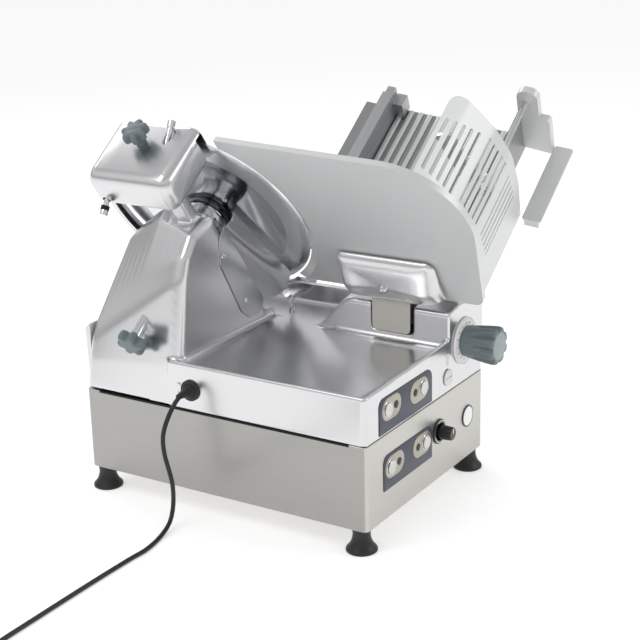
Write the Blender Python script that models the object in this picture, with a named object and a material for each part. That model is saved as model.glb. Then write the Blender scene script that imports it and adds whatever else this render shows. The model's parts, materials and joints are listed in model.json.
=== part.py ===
"""Deli meat slicer: sheet-steel base, cast body, tilted blade, gauge plate and sliding carriage.

Metres, +Z up, X to the right and Y away from the operator. Two tilted frames carry the
slanted parts: the blade frame, with X square to the blade, and the carriage frame, with X
up the product tray towards its far end and Y along the carriage's own floor.
"""

import math

import bmesh
import bpy
from mathutils import Matrix, Vector

for old in list(bpy.data.objects):
    bpy.data.objects.remove(old)

# Driving sizes
BASE_WIDTH = 0.395
BASE_DEPTH = 0.540
BASE_HEIGHT = 0.140
FOOT_HEIGHT = 0.039
FOOT_RADIUS = 0.025
DECK_RISE = 0.0734
BLOCK_RISE = 0.059
WALL = 0.006
SHEET = 0.002
GAP = 0.0003
BLADE_RADIUS = 0.185
BLADE_THICKNESS = 0.0045
BLADE_TILT = math.radians(36)
BLADE_FLOOR_GAP = 0.0487
TRAY_RISE = math.radians(10)
TRAY_LENGTH = 0.330
TRAY_WIDTH = 0.3505
GUARD_LENGTH = 0.170
NOSE_RADIUS = 0.035
HUB_RADIUS = 0.029
TIE_ROD_RADIUS = 0.009
KNOB_RADIUS = 0.032
KNOB_REACH = 0.065
DIAL_RADIUS = 0.040
BUTTON_RADIUS = 0.012
BUTTON_TRAVEL = 0.002
GAUGE_TRAVEL = 0.016
CORD_RADIUS = 0.0037
CORD_FLOOR_RUN = 0.545

# Derived sizes
BASE_TOP = FOOT_HEIGHT + BASE_HEIGHT
DECK = BASE_TOP + DECK_RISE
BLOCK_TOP = DECK + BLOCK_RISE
BLOCK_LEFT = BASE_WIDTH - 0.124
BLADE_LOW = BLADE_RADIUS * math.cos(BLADE_TILT)
BLADE_CENTRE = Vector(
    (
        BASE_WIDTH - 0.0739 - BLADE_RADIUS * math.sin(BLADE_TILT),
        BASE_DEPTH - 0.1185,
        DECK + BLADE_FLOOR_GAP + BLADE_LOW,
    )
)
TOWER_FRONT = BLADE_CENTRE.y - 0.0745
TOWER_FACE = -0.062
NOSE_END = -0.016
HUB_BACK = NOSE_END + 0.0006
BLADE_BACK = -BLADE_THICKNESS
PLATE_BACK = -0.0105
PLATE_LOW = -(BLADE_RADIUS - 0.0415)
ARM_Y = -0.315
TRAY_CLEAR = 0.0131

BLADE_FRAME = Matrix.Translation(BLADE_CENTRE) @ Matrix.Rotation(-BLADE_TILT, 4, "Y")
CARRIAGE_CORNER = BLADE_FRAME @ Vector(
    (TRAY_CLEAR, -(BLADE_RADIUS + 0.2488), -(BLADE_RADIUS - 0.0463))
)
CARRIAGE_FRAME = (
    Matrix.Translation(CARRIAGE_CORNER)
    @ Matrix.Rotation(-BLADE_TILT, 4, "Y")
    @ Matrix.Rotation(TRAY_RISE, 4, "X")
)
HERE = Matrix.Identity(4)


def material(name, colour, metallic, roughness):
    found = bpy.data.materials.new(name)
    found.use_nodes = True
    shader = found.node_tree.nodes["Principled BSDF"]
    shader.inputs["Base Color"].default_value = (*colour, 1)
    shader.inputs["Metallic"].default_value = metallic
    shader.inputs["Roughness"].default_value = roughness
    return found


CAST = material("cast_aluminium", (0.72, 0.72, 0.73), 1, 0.35)
STEEL = material("brushed_steel", (0.55, 0.54, 0.53), 1, 0.4)
BRIGHT = material("polished_steel", (0.75, 0.76, 0.78), 1, 0.12)
ANODISED = material("anodised_aluminium", (0.68, 0.68, 0.69), 1, 0.5)
RUBBER = material("black_rubber", (0.015, 0.015, 0.016), 0, 0.6)
GREY = material("grey_plastic", (0.2, 0.24, 0.24), 0, 0.4)
DARK = material("dark_plastic", (0.02, 0.02, 0.022), 0, 0.35)
PANEL = material("panel_film", (0.07, 0.08, 0.11), 0, 0.4)
WHITE = material("white_plastic", (0.8, 0.8, 0.8), 0, 0.4)
STONE = material("grinding_stone", (0.35, 0.33, 0.31), 0, 0.9)
MOTOR = material("painted_motor", (0.06, 0.07, 0.08), 0, 0.5)


def frame(name, parent, matrix):
    empty = bpy.data.objects.new(name, None)
    bpy.context.scene.collection.objects.link(empty)
    empty.parent = parent
    empty.matrix_local = matrix
    return empty


def finish(name, mesh_data, matrix):
    """An object from a bmesh, moved by the matrix, with its faces outward."""
    bmesh.ops.transform(mesh_data, matrix=matrix, verts=mesh_data.verts)
    bmesh.ops.recalc_face_normals(mesh_data, faces=mesh_data.faces)
    mesh = bpy.data.meshes.new(name)
    mesh_data.to_mesh(mesh)
    mesh_data.free()
    made = bpy.data.objects.new(name, mesh)
    bpy.context.scene.collection.objects.link(made)
    return made


def loft(name, first, low, second, high, axis, matrix=HERE):
    """A solid between two outlines with the same number of corners, square to the axis."""
    data = bmesh.new()
    across = [k for k in range(3) if k != "XYZ".index(axis)]
    rings = []
    for outline, level in ((first, low), (second, high)):
        ring = []
        for corner in outline:
            point = [level, level, level]
            point[across[0]] = corner[0]
            point[across[1]] = corner[1]
            ring.append(data.verts.new(point))
        rings.append(ring)
        data.faces.new(ring)
    for k in range(len(first)):
        data.faces.new((rings[0][k - 1], rings[0][k], rings[1][k], rings[1][k - 1]))
    return finish(name, data, matrix)


def prism(name, outline, low, high, axis, matrix=HERE):
    """The outline drawn out along the axis; its corners are on the other two axes."""
    return loft(name, outline, low, outline, high, axis, matrix)


def box(name, low, high, matrix=HERE):
    corners = [(low[0], low[1]), (high[0], low[1]), (high[0], high[1]), (low[0], high[1])]
    return prism(name, corners, low[2], high[2], "Z", matrix)


def turned(name, profile, axis="Z", steps=32, matrix=HERE):
    """A closed outline of (radius, distance along the axis), turned about the axis."""
    data = bmesh.new()
    turn = {"Z": HERE, "X": Matrix.Rotation(math.pi / 2, 4, "Y")}
    turn["Y"] = Matrix.Rotation(-math.pi / 2, 4, "X")
    rings = []
    for radius, along in profile:
        if radius == 0:
            rings.append([data.verts.new((0, 0, along))] * steps)
            continue
        angles = [2 * math.pi * k / steps for k in range(steps)]
        rings.append(
            [data.verts.new((radius * math.cos(a), radius * math.sin(a), along)) for a in angles]
        )
    for k, ring in enumerate(rings):
        before = rings[k - 1]
        for j in range(steps):
            corners = []
            for corner in (before[j - 1], before[j], ring[j], ring[j - 1]):
                if corner not in corners:
                    corners.append(corner)
            if len(corners) > 2:
                data.faces.new(corners)
    return finish(name, data, matrix @ turn[axis])


def disc(name, radius, low, high, axis="Z", steps=32, matrix=HERE):
    return turned(name, [(0, low), (radius, low), (radius, high), (0, high)], axis, steps, matrix)


def ring(name, inner, outer, low, high, axis="Z", steps=32, matrix=HERE):
    outline = [(inner, low), (outer, low), (outer, high), (inner, high)]
    return turned(name, outline, axis, steps, matrix)


def at(x, y, z):
    return Matrix.Translation((x, y, z))


def rounded(corners, radii, steps=4):
    """An outline with each corner turned by an arc that meets both its sides."""
    found = []
    for k, corner in enumerate(corners):
        here = Vector(corner)
        radius = radii[k] if isinstance(radii, (list, tuple)) else radii
        if not radius:
            found.append(tuple(here))
            continue
        before = (Vector(corners[k - 1]) - here).normalized()
        after = (Vector(corners[(k + 1) % len(corners)]) - here).normalized()
        half = before.angle(after) / 2
        centre = here + (before + after).normalized() * radius / math.sin(half)
        start = here + before * radius / math.tan(half) - centre
        end = here + after * radius / math.tan(half) - centre
        turn = start.angle_signed(end)
        for j in range(steps + 1):
            spoke = Matrix.Rotation(-turn * j / steps, 2) @ start
            found.append(tuple(centre + spoke))
    return found


def combine(target, tools, operation):
    """Joins the tools to the target or cuts them from it, and removes them."""
    for tool in tools:
        step = target.modifiers.new("step", "BOOLEAN")
        step.operation = operation
        step.solver = "EXACT"
        step.object = tool
        graph = bpy.context.evaluated_depsgraph_get()
        made = bpy.data.meshes.new_from_object(target.evaluated_get(graph))
        data = bmesh.new()
        data.from_mesh(made)
        bmesh.ops.remove_doubles(data, verts=data.verts, dist=2e-6)
        bmesh.ops.dissolve_degenerate(data, edges=data.edges, dist=2e-6)
        data.to_mesh(made)
        data.free()
        target.modifiers.remove(step)
        target.data = made
        bpy.data.objects.remove(tool)
    return target


def join(target, *tools):
    return combine(target, tools, "UNION")


def cut(target, *tools):
    return combine(target, tools, "DIFFERENCE")


def place(part, parent, look, origin=(0, 0, 0)):
    """Hangs the part from a frame, with its own origin at the given point of the frame."""
    part.data.transform(Matrix.Translation(-Vector(origin)))
    part.data.materials.clear()
    part.data.materials.append(look)
    for face in part.data.polygons:
        face.use_smooth = True
    part.data.set_sharp_from_angle(angle=math.radians(35))
    part.parent = parent
    part.location = origin
    return part


def lobes(radius, depth, count, steps):
    """The outline of a knob with rounded lobes."""
    found = []
    for k in range(steps):
        angle = 2 * math.pi * k / steps
        reach = radius - depth / 2 + depth / 2 * math.cos(count * angle)
        found.append((reach * math.cos(angle), reach * math.sin(angle)))
    return found


def layout_point(x, z):
    """The (x, z) of the layout for a point (x, z) of the blade frame."""
    point = BLADE_FRAME @ Vector((x, 0, z))
    return point.x, point.z


machine = frame("machine_frame", None, HERE)
blade_frame = frame("blade_frame", machine, BLADE_FRAME)
carriage_frame = frame("carriage_frame", machine, CARRIAGE_FRAME)


# Base
def floor_plan(inset, radius=0.005):
    low, wide, deep = inset, BASE_WIDTH - inset, BASE_DEPTH - inset
    return rounded([(low, low), (wide, low), (wide, deep), (low, deep)], radius)


base = prism("base_box", floor_plan(0), FOOT_HEIGHT, BASE_TOP - GAP, "Z")
inside = floor_plan(SHEET, 0.003)
cut(base, prism("inside", inside, FOOT_HEIGHT - 0.01, BASE_TOP + 0.01, "Z"))
PANEL_LOW_Z = FOOT_HEIGHT + 0.0755
PANEL_HIGH_Z = BASE_TOP + 0.0316
BUTTONS = {
    "start_upper": (0.0645, PANEL_HIGH_Z + 0.0094),
    "stop_upper": (0.1785, PANEL_HIGH_Z + 0.0069),
    "start_lower": (0.073, PANEL_LOW_Z + 0.0075),
    "stop_lower": (0.187, PANEL_LOW_Z + 0.0075),
}
SELECTOR = (0.235, FOOT_HEIGHT + 0.083)
DIAL = (BASE_WIDTH - 0.071, DECK - 0.0009)


def front_hole(radius, centre):
    return disc("hole", radius, -0.02, 0.03, "Y", 16, at(centre[0], 0, centre[1]))


STEM = 0.004
cut(base, front_hole(STEM + 0.0005, BUTTONS["start_lower"]))
cut(base, front_hole(STEM + 0.0005, BUTTONS["stop_lower"]))
cut(base, front_hole(STEM + 0.0005, SELECTOR))
place(base, machine, STEEL)
plate = prism("bottom_plate", floor_plan(SHEET + GAP, 0.003), FOOT_HEIGHT, FOOT_HEIGHT + 0.003, "Z")
place(plate, machine, STEEL)
FOOT_PROFILE = [
    (0, 0),
    (FOOT_RADIUS, 0),
    (FOOT_RADIUS, 0.1 * FOOT_HEIGHT),
    (0.72 * FOOT_RADIUS, 0.4 * FOOT_HEIGHT),
    (0.56 * FOOT_RADIUS, 0.75 * FOOT_HEIGHT),
    (0.6 * FOOT_RADIUS, FOOT_HEIGHT - GAP),
    (0, FOOT_HEIGHT - GAP),
]
for side, x in (("left", 0.0165), ("right", BASE_WIDTH - 0.0165)):
    for end, y in (("front", 0.0195), ("rear", BASE_DEPTH - 0.0195)):
        place(turned(f"foot_{end}_{side}", FOOT_PROFILE), machine, RUBBER).location = (x, y, 0)

# Cast body: deck with rims, raised block, tower with its nose, all hollow underneath
W, D = BASE_WIDTH, BASE_DEPTH
SHOULDER = 0.03


def lower_plan(wall, reach):
    """The plan of the deck part, which stops short where the tower makes the left side."""
    back = TOWER_FRONT + reach
    left = SHOULDER + reach
    return [
        (wall, wall),
        (W - wall, wall),
        (W - wall, D - wall),
        (left, D - wall),
        (left, back),
        (wall, back),
    ]


body = prism("body_casting", lower_plan(0, 0.010), BASE_TOP, DECK, "Z")
RIM = DECK + 0.0036
sill = [(0.0006, DECK - 0.01), (0.0006, RIM)]
sill += [(BLOCK_LEFT + 0.01, RIM + 0.009), (BLOCK_LEFT + 0.01, DECK - 0.01)]
front_rim = prism("front_rim", sill, 0.0004, 0.008, "Y")
left_rim = box("left_rim", (0.0004, 0.002, DECK - 0.01), (0.008, TOWER_FRONT + 0.01, RIM))
in_x, in_y, out_x, out_y = W - 0.008, D - 0.009, W - 0.0004, D - 0.0006
corner_plan = [(in_x, 0.15), (out_x, 0.15), (out_x, out_y), (0.2, out_y), (0.2, in_y), (in_x, in_y)]
back_rim = prism("back_rim", corner_plan, DECK - 0.01, RIM, "Z")
block_outline = rounded(
    [
        (BLOCK_LEFT, DECK - 0.01),
        (BLOCK_LEFT, BLOCK_TOP),
        (BLOCK_LEFT + 0.0435, BLOCK_TOP + 0.008),
        (W - 0.0003, BLOCK_TOP - 0.006),
        (W - 0.0003, DECK - 0.01),
    ],
    [0, 0.005, 0.02, 0.018, 0],
)
block = prism("block", block_outline, 0.0002, 0.266, "Y")
ramp = [(0.193, BLOCK_TOP + 0.05), (0.193, BLOCK_TOP + 0.004), (0.263, DECK - 0.002)]
ramp += [(0.30, DECK - 0.002), (0.30, BLOCK_TOP + 0.05)]
cut(block, prism("ramp", ramp, BLOCK_LEFT - 0.05, W + 0.05, "X"))


def tower_outline(rise, wall):
    """(x, z) corners up the left side, then down the face that looks at the blade."""
    face = TOWER_FACE - wall
    top = [layout_point(face, rise[2]), layout_point(face, -(BLADE_RADIUS + 0.022 + 3 * wall))]
    return rise[0] + [layout_point(*point) for point in rise[1]] + top


def tower(name, inset, low):
    front = (
        [(inset, low), (inset, DECK + 0.0266 - inset), (0.0223 + inset, DECK + 0.1356)],
        [(-0.1220 + inset / 2, 0.0933 - inset), (-0.077, 0.0772 - inset)],
        0.071 - inset,
    )
    front[0].append((0.0342 + inset, DECK + 0.1726 - inset / 2))
    rear = (
        [(0.001 + inset, low), (0.0134 + inset, DECK - 0.011), (0.020 + inset, DECK + 0.0186)],
        [(-0.0925 + inset, 0.0080 - inset), (-0.0700, 0.0035 - inset)],
        0.001 - inset,
    )
    rear[0].append((0.058 + inset, DECK + 0.0636 - inset / 2))
    near, far = TOWER_FRONT + inset, D - 0.0003 - inset
    return loft(name, tower_outline(front, inset), near, tower_outline(rear, inset), far, "Y")


solid_tower = tower("tower", 0, BASE_TOP)
nose = disc("nose", NOSE_RADIUS, TOWER_FACE - 0.02, NOSE_END, "X", 32, BLADE_FRAME)
post_low, post_high = (-0.094, -0.052, 0.02), (-0.076, -0.026, BLADE_RADIUS - 0.0503)
post = box("post", post_low, post_high, BLADE_FRAME)
join(body, front_rim, left_rim, back_rim, block, solid_tower, nose, post)

deck_room = prism("deck_room", lower_plan(0.008, -0.004), BASE_TOP - 0.01, DECK - WALL, "Z")
cut(body, deck_room)
block_room = prism(
    "block_room",
    [
        (BLOCK_LEFT + WALL, DECK - 0.02),
        (BLOCK_LEFT + WALL, BLOCK_TOP - WALL),
        (BLOCK_LEFT + 0.0435, BLOCK_TOP + 0.008 - WALL - 0.001),
        (W - 0.026, BLOCK_TOP - 0.0095),
        (W - 0.008, BLOCK_TOP - 0.024),
        (W - 0.008, DECK - 0.02),
    ],
    0.0065,
    0.185,
    "Y",
)
cut(body, block_room, tower("tower_room", WALL, BASE_TOP - 0.01))
BORE = 0.022
cut(body, disc("bore", BORE, TOWER_FACE - 0.03, 0.02, "X", 24, BLADE_FRAME))
cut(body, disc("rod_hole", TIE_ROD_RADIUS + 0.0006, -0.27, -0.12, "X", 24, BLADE_FRAME))
cut(body, front_hole(STEM + 0.0005, BUTTONS["start_upper"]))
cut(body, front_hole(STEM + 0.0005, BUTTONS["stop_upper"]))
cut(body, front_hole(0.0058, DIAL))
gauge_low, gauge_high = BLADE_CENTRE.y + ARM_Y - 0.0385, BLADE_CENTRE.y + ARM_Y + 0.0385
cut(
    body,
    box("gauge_slot", (BLOCK_LEFT - 0.02, gauge_low, DECK + 0.0136), (BLOCK_LEFT + 0.052, gauge_high, 0.5)),
)
ARM_NEAR, ARM_FAR = 0.055, 0.105
CARRIAGE_TRAVEL = 0.28
slot_low, slot_high = BASE_TOP + 0.013, BASE_TOP + 0.043
cut(
    body,
    box("rail_slot", (W - 0.02, 0.045, slot_low), (W + 0.02, ARM_FAR + CARRIAGE_TRAVEL + 0.01, slot_high)),
)
place(body, machine, CAST)

# Fittings of the body
cover_side = [
    (D + GAP, FOOT_HEIGHT + 0.003),
    (D + 0.003, FOOT_HEIGHT + 0.003),
    (D + 0.0113, DECK + 0.024),
    (D + GAP, DECK + 0.034),
]
place(prism("rear_cover", cover_side, 0.020, W - 0.02, "X"), machine, CAST)
GLAND = (0.322, DECK - 0.0384)
gland_profile = [
    (0, -GAP),
    (0.0175, -GAP),
    (0.0175, -0.004),
    (0.011, -0.0055),
    (0.009, -0.012),
    (0, -0.012),
]
gland = turned("cord_gland", gland_profile, "X", 24, at(0, *GLAND))
place(gland, machine, RUBBER)


def front_plate(name, x_low, x_high, z_low, z_high, buttons):
    """A dark film panel with two bright raised button plates on it."""
    corners = [(x_low, z_low), (x_high, z_low), (x_high, z_high), (x_low, z_high)]
    panel = prism(name, rounded(corners, 0.003, 3), -0.0015, -GAP, "Y")
    for centre, lead in zip(buttons, (1, -1)):
        middle = (centre[0] + lead * 0.0127, centre[1])
        half, tall = 0.0295, 0.0185
        plan = [(-half, -tall), (half, -tall), (half, tall), (-half, tall)]
        plan = [(middle[0] + x, middle[1] + z) for x, z in plan]
        join(panel, prism("button_plate", rounded(plan, 0.0183, 5), -0.0026, -0.001, "Y"))
    for centre in buttons:
        cut(panel, front_hole(STEM + 0.0005, centre))
    return place(panel, machine, PANEL)


upper = [BUTTONS["start_upper"], BUTTONS["stop_upper"]]
lower = [BUTTONS["start_lower"], BUTTONS["stop_lower"]]
front_plate("panel_upper", 0.040, 0.2095, BASE_TOP + 0.0046, BASE_TOP + 0.0626, upper)
front_plate("panel_lower", 0.052, 0.2095, PANEL_LOW_Z - 0.0275, PANEL_LOW_Z + 0.0305, lower)
for name, centre in BUTTONS.items():
    cap = -0.0029 - BUTTON_TRAVEL
    profile = [(0, cap - 0.0035), (BUTTON_RADIUS, cap - 0.003), (BUTTON_RADIUS, cap), (STEM, cap)]
    profile += [(STEM, 0.006), (0, 0.006)]
    button = turned("push_button_" + name, profile, "Y", 20, at(centre[0], 0, centre[1]))
    place(button, machine, BRIGHT, (centre[0], cap, centre[1]))
bezel = ring("selector_bezel", STEM + 0.0005, 0.021, -0.003, -GAP, "Y", 28, at(SELECTOR[0], 0, SELECTOR[1]))
place(bezel, machine, DARK)
selector = turned(
    "selector_knob",
    [(0, -0.026), (0.0105, -0.026), (0.012, -0.0033), (STEM, -0.0033), (STEM, 0.006), (0, 0.006)],
    "Y",
    20,
    at(SELECTOR[0], 0, SELECTOR[1]),
)
selector_frame = at(SELECTOR[0], 0, SELECTOR[1])
pointer = box("pointer", (-0.0018, -0.0275, -0.002), (0.0018, -0.01, 0.0125), selector_frame)
join(selector, pointer)
place(selector, machine, DARK, (SELECTOR[0], 0, SELECTOR[1]))
badge = disc("badge", 0.019, -0.0012, -GAP, "Y", 28, at(W - 0.057, 0, FOOT_HEIGHT + 0.0736))
place(badge, machine, WHITE)
cap = disc("screw_cap", 0.014, -0.0025, -GAP, "Y", 24, at(W - 0.130, 0, BASE_TOP + 0.027))
cut(cap, box("slit", (-0.02, -0.01, -0.001), (0.02, -0.0015, 0.001), at(W - 0.130, 0, BASE_TOP + 0.027)))
place(cap, machine, ANODISED)
dial_spot = at(DIAL[0], 0, DIAL[1])
dial = ring("thickness_dial", 0.0058, DIAL_RADIUS, -0.0035, -GAP, "Y", 40, dial_spot)
place(dial, machine, WHITE, (DIAL[0], 0, DIAL[1]))
grip = prism("thickness_knob", lobes(KNOB_RADIUS, 0.0035, 10, 60), -KNOB_REACH, -0.0038, "Y", dial_spot)
join(grip, disc("shaft", 0.0052, -0.01, 0.020, "Y", 20, dial_spot))
place(grip, machine, GREY, (DIAL[0], 0, DIAL[1]))
pin_spot = at(BASE_WIDTH - 0.0745, TOWER_FRONT - 0.012, DECK + GAP)
pin_profile = [(0, 0), (0.006, 0), (0.006, 0.005), (0.0035, 0.007), (0.0035, 0.014)]
pin_profile += [(0.0045, 0.015), (0.0045, 0.0232), (0, 0.0232)]
place(turned("ring_pin", pin_profile, "Z", 16, pin_spot), machine, BRIGHT)

# Slice deflector: a flange flat on the tower's front wall and a leaf that leads to the blade
flange = [(-0.058, 0.037), (-0.0814, 0.0323), (-0.107, -0.005), (-0.1185, -0.115), (-0.1095, -0.1428)]
flange += [(-0.0866, -0.1585), (-0.061, -0.149)]
wall_y = TOWER_FRONT - BLADE_CENTRE.y
flange = rounded(flange, [0, 0.008, 0.02, 0.012, 0.008, 0.008, 0], 3)
deflector = prism("slice_deflector", flange, wall_y - 0.0018, wall_y - GAP, "Y")
corners = [Vector((-0.0595, wall_y - 0.0010, 0.033)), Vector((-0.0625, wall_y - 0.0010, -0.145))]
corners += [Vector((-0.0125, wall_y - 0.040, -0.128)), Vector((-0.0125, wall_y + 0.0125, 0.020))]
square = (corners[2] - corners[0]).cross(corners[3] - corners[1]).normalized() * 0.0008
leaf = bmesh.new()
sides = [[leaf.verts.new(point + way * square) for point in corners] for way in (-1, 1)]
for side in sides:
    leaf.faces.new(side)
for k in range(4):
    leaf.faces.new((sides[0][k - 1], sides[0][k], sides[1][k], sides[1][k - 1]))
join(deflector, finish("leaf", leaf, HERE))
trim = box("trim", (-0.2, wall_y - GAP, -0.3), (TOWER_FACE + 0.0005, 0.2, 0.2))
cut(deflector, trim)
place(deflector, blade_frame, BRIGHT)


# Blade and its drive
def ring_sector(name, inner, outer, low, high, start, end, steps):
    """Part of a flat ring in the blade's plane, between two angles from the Y axis."""
    angles = [math.radians(start + (end - start) * k / steps) for k in range(steps + 1)]
    outline = [(outer * math.cos(a), outer * math.sin(a)) for a in angles]
    outline += [(inner * math.cos(a), inner * math.sin(a)) for a in reversed(angles)]
    return prism(name, outline, low, high, "X")


RING_INNER = BLADE_RADIUS + 0.003
RING_OUTER = BLADE_RADIUS + 0.017
guard = ring_sector("ring_guard", RING_INNER, RING_OUTER, -0.020, -0.003, -119, 57, 44)
lug_base = BLADE_FRAME.inverted() @ pin_spot @ Vector((0, 0, 0.0235))
lug_frame = Matrix.Translation(lug_base) @ Matrix.Rotation(BLADE_TILT, 4, "Y")
lug = disc("lug", 0.0075, 0, 0.016, "Z", 16, lug_frame)
corner_low = -(BLADE_RADIUS + 0.0145)
lug_arm = box("lug_arm", (-0.0195, wall_y - 0.0255, corner_low), (-0.0035, wall_y, corner_low + 0.0225))
join(guard, lug_arm, lug)
place(guard, blade_frame, CAST)
blade_profile = [
    (HUB_RADIUS - 0.012, 0),
    (BLADE_RADIUS, 0),
    (BLADE_RADIUS - 0.002, -0.0012),
    (0.773 * BLADE_RADIUS, BLADE_BACK),
    (HUB_RADIUS - 0.012, BLADE_BACK),
]
place(turned("blade", blade_profile, "X", 96), blade_frame, BRIGHT)
SHAFT = 0.015
SHAFT_BORE = TIE_ROD_RADIUS + 0.0008
PULLEY_FACE = TOWER_FACE - 0.024
hub_profile = [
    (SHAFT_BORE, BLADE_BACK - GAP),
    (HUB_RADIUS, BLADE_BACK - GAP),
    (HUB_RADIUS, HUB_BACK),
    (SHAFT, HUB_BACK),
    (SHAFT, PULLEY_FACE),
    (SHAFT - 0.003, PULLEY_FACE - 0.001),
    (SHAFT - 0.003, PULLEY_FACE - 0.018),
    (SHAFT_BORE, PULLEY_FACE - 0.018),
]
place(turned("blade_shaft", hub_profile, "X", 32), blade_frame, STEEL)
bearing = ring("shaft_bearing", SHAFT + GAP, BORE - GAP, -0.056, -0.022, "X", 24)
place(bearing, blade_frame, STEEL)
PULLEY = 0.036
MOTOR_PULLEY = 0.018
MOTOR_DROP = -(BLADE_RADIUS - 0.035)
belt_low, belt_high = PULLEY_FACE - 0.015, PULLEY_FACE - 0.003
pulley_span = (PULLEY_FACE - 0.016, PULLEY_FACE - 0.0015)
driven = ring("driven_pulley", SHAFT - 0.003 + GAP, PULLEY, *pulley_span, "X", 32)
place(driven, blade_frame, CAST)
motor_spot = at(0, 0, MOTOR_DROP)
small = disc("motor_pulley", MOTOR_PULLEY, PULLEY_FACE - 0.016, PULLEY_FACE - 0.0015, "X", 24, motor_spot)
place(small, blade_frame, CAST, (0, 0, MOTOR_DROP))
lean = math.asin((PULLEY - MOTOR_PULLEY) / -MOTOR_DROP)


def belt_outline(grow):
    """Round the two pulleys, with straight runs between."""
    found = []
    for k in range(17):
        angle = -lean + (math.pi + 2 * lean) * k / 16
        found.append(((PULLEY + grow) * math.cos(angle), (PULLEY + grow) * math.sin(angle)))
    for k in range(13):
        angle = math.pi + lean + (math.pi - 2 * lean) * k / 12
        reach = MOTOR_PULLEY + grow
        found.append((reach * math.cos(angle), MOTOR_DROP + reach * math.sin(angle)))
    return found


belt = prism("drive_belt", belt_outline(0.0028), belt_low, belt_high, "X")
cut(belt, prism("belt_room", belt_outline(GAP + 0.0002), belt_low - 0.01, belt_high + 0.01, "X"))
place(belt, blade_frame, RUBBER)
motor_face = PULLEY_FACE - 0.0165
motor = disc("blade_motor", 0.044, motor_face - 0.120, motor_face + 0.0002, "X", 28, motor_spot)
shoe_low = (motor_face - 0.09, wall_y + WALL + GAP, MOTOR_DROP - 0.02)
shoe = box("shoe", shoe_low, (motor_face - 0.03, -0.02, MOTOR_DROP + 0.02))
place(join(motor, shoe), blade_frame, MOTOR)
rod = disc("tie_rod", TIE_ROD_RADIUS, -0.2755, 0.0022, "X", 24)
place(rod, blade_frame, BRIGHT)
rod_knob = prism("tie_rod_knob", lobes(0.0255, 0.007, 6, 48), -0.294, -0.2758, "X")
place(rod_knob, blade_frame, GREY)
cover_profile = [(0, 0.0025), (0.8 * BLADE_RADIUS, 0.0025), (0.79 * BLADE_RADIUS, 0.005)]
cover_profile += [(0.4 * BLADE_RADIUS, 0.0095), (0, 0.0095)]
place(turned("blade_cover", cover_profile, "X", 48), blade_frame, CAST)

# Gauge plate and what carries it
edge = BLADE_RADIUS
plate_plan = [
    (-0.0994, edge + 0.0066),
    (-(edge + 0.349), edge - 0.017),
    (-(edge + 0.289), PLATE_LOW),
    (-0.865 * edge, PLATE_LOW),
]
plate_plan = rounded(plate_plan, [0, 0.13, 0.02, 0], 10)
gauge = prism("gauge_plate", plate_plan, PLATE_BACK, -0.0005, "X")
cut(gauge, disc("blade_room", BLADE_RADIUS + 0.007, -0.05, 0.05, "X", 96))
place(gauge, blade_frame, ANODISED)
ARM_COVER = (ARM_Y - 0.100, ARM_Y + 0.080)
back, low = PLATE_BACK - GAP, PLATE_LOW + 0.0055
shell = [(back, low), (-0.036, low), (-0.042, low + 0.035), (-0.026, low + 0.093), (back, low + 0.093)]
shell = rounded(shell, [0, 0.006, 0.012, 0.008, 0], 4)
arm_cover = prism("gauge_arm_cover", shell, ARM_COVER[0], ARM_COVER[1], "Y")
room = [(0.01, low - 0.02), (-0.0325, low - 0.02), (-0.0385, low + 0.035)]
room += [(-0.0235, low + 0.089), (0.01, low + 0.089)]
arm_room = prism("arm_room", room, ARM_Y - 0.036, ARM_Y + 0.036, "Y")
cut(arm_cover, arm_room)
place(arm_cover, blade_frame, CAST)
arm = box("gauge_arm", (-0.0265, ARM_Y - 0.030, -(edge + 0.012)), (back, ARM_Y + 0.030, low + 0.050))
place(arm, blade_frame, CAST)
screw_spot = at(0, ARM_Y, low + 0.035)
screw = turned(
    "cover_screw",
    [(0, -0.0450), (0.0065, -0.0440), (0.0065, -0.0420), (0, -0.0420)],
    "X",
    20,
    screw_spot,
)
place(screw, blade_frame, BRIGHT)
corner = layout_point(-0.030, low)
sheet_x = corner[0]
shield = [(gauge_low + 0.003, DECK + 0.0136), (gauge_high - 0.003, DECK + 0.0136)]
shield += [(gauge_high - 0.003, corner[1] - 0.0010), (gauge_low + 0.003, corner[1] - 0.0010)]
shield = rounded(shield, [0.008, 0.008, 0, 0], 3)
place(prism("slot_shield", shield, sheet_x - 0.0008, sheet_x + 0.0010, "X"), machine, ANODISED)

# Sharpener over the top of the blade
low, high = BLADE_RADIUS - 0.050, BLADE_RADIUS + 0.013
housing_side = rounded(
    [(-0.105, low), (0.012, low), (0.012, high), (-0.105, high)], [0.012, 0.004, 0.012, 0.018], 5
)
housing = prism("sharpener_housing", housing_side, -0.063, 0.090, "Y")
for y, way in ((-0.063, 1), (0.090, -1)):
    for z, turn in ((low, 1), (high, -1)):
        size = 0.011
        out_y, out_z = y - way * 0.001, z - turn * 0.001
        wedge = [(out_y, out_z), (y + way * size, out_z), (out_y, z + turn * size)]
        cut(housing, prism("wedge", wedge, -0.15, 0.05, "X"))
cut(housing, box("housing_room", (-0.072, -0.058, low - 0.02), (0.009, 0.083, high - 0.0045)))
cut(housing, box("blade_slit", (-0.012, -0.08, low - 0.02), (0.006, 0.10, BLADE_RADIUS + 0.0035)))
knob_spot = (-0.035, 0.024)
SPINDLE = math.radians(26)
hone_at = Vector((-0.020, -0.020, high))
grind_at = Vector((-0.105, 0.068, low + 0.011))


def spindle(start):
    """A frame with Z along the stone spindles, leaning from the blade's axis."""
    return Matrix.Translation(start) @ Matrix.Rotation(math.pi / 2 - SPINDLE, 4, "Y")


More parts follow.
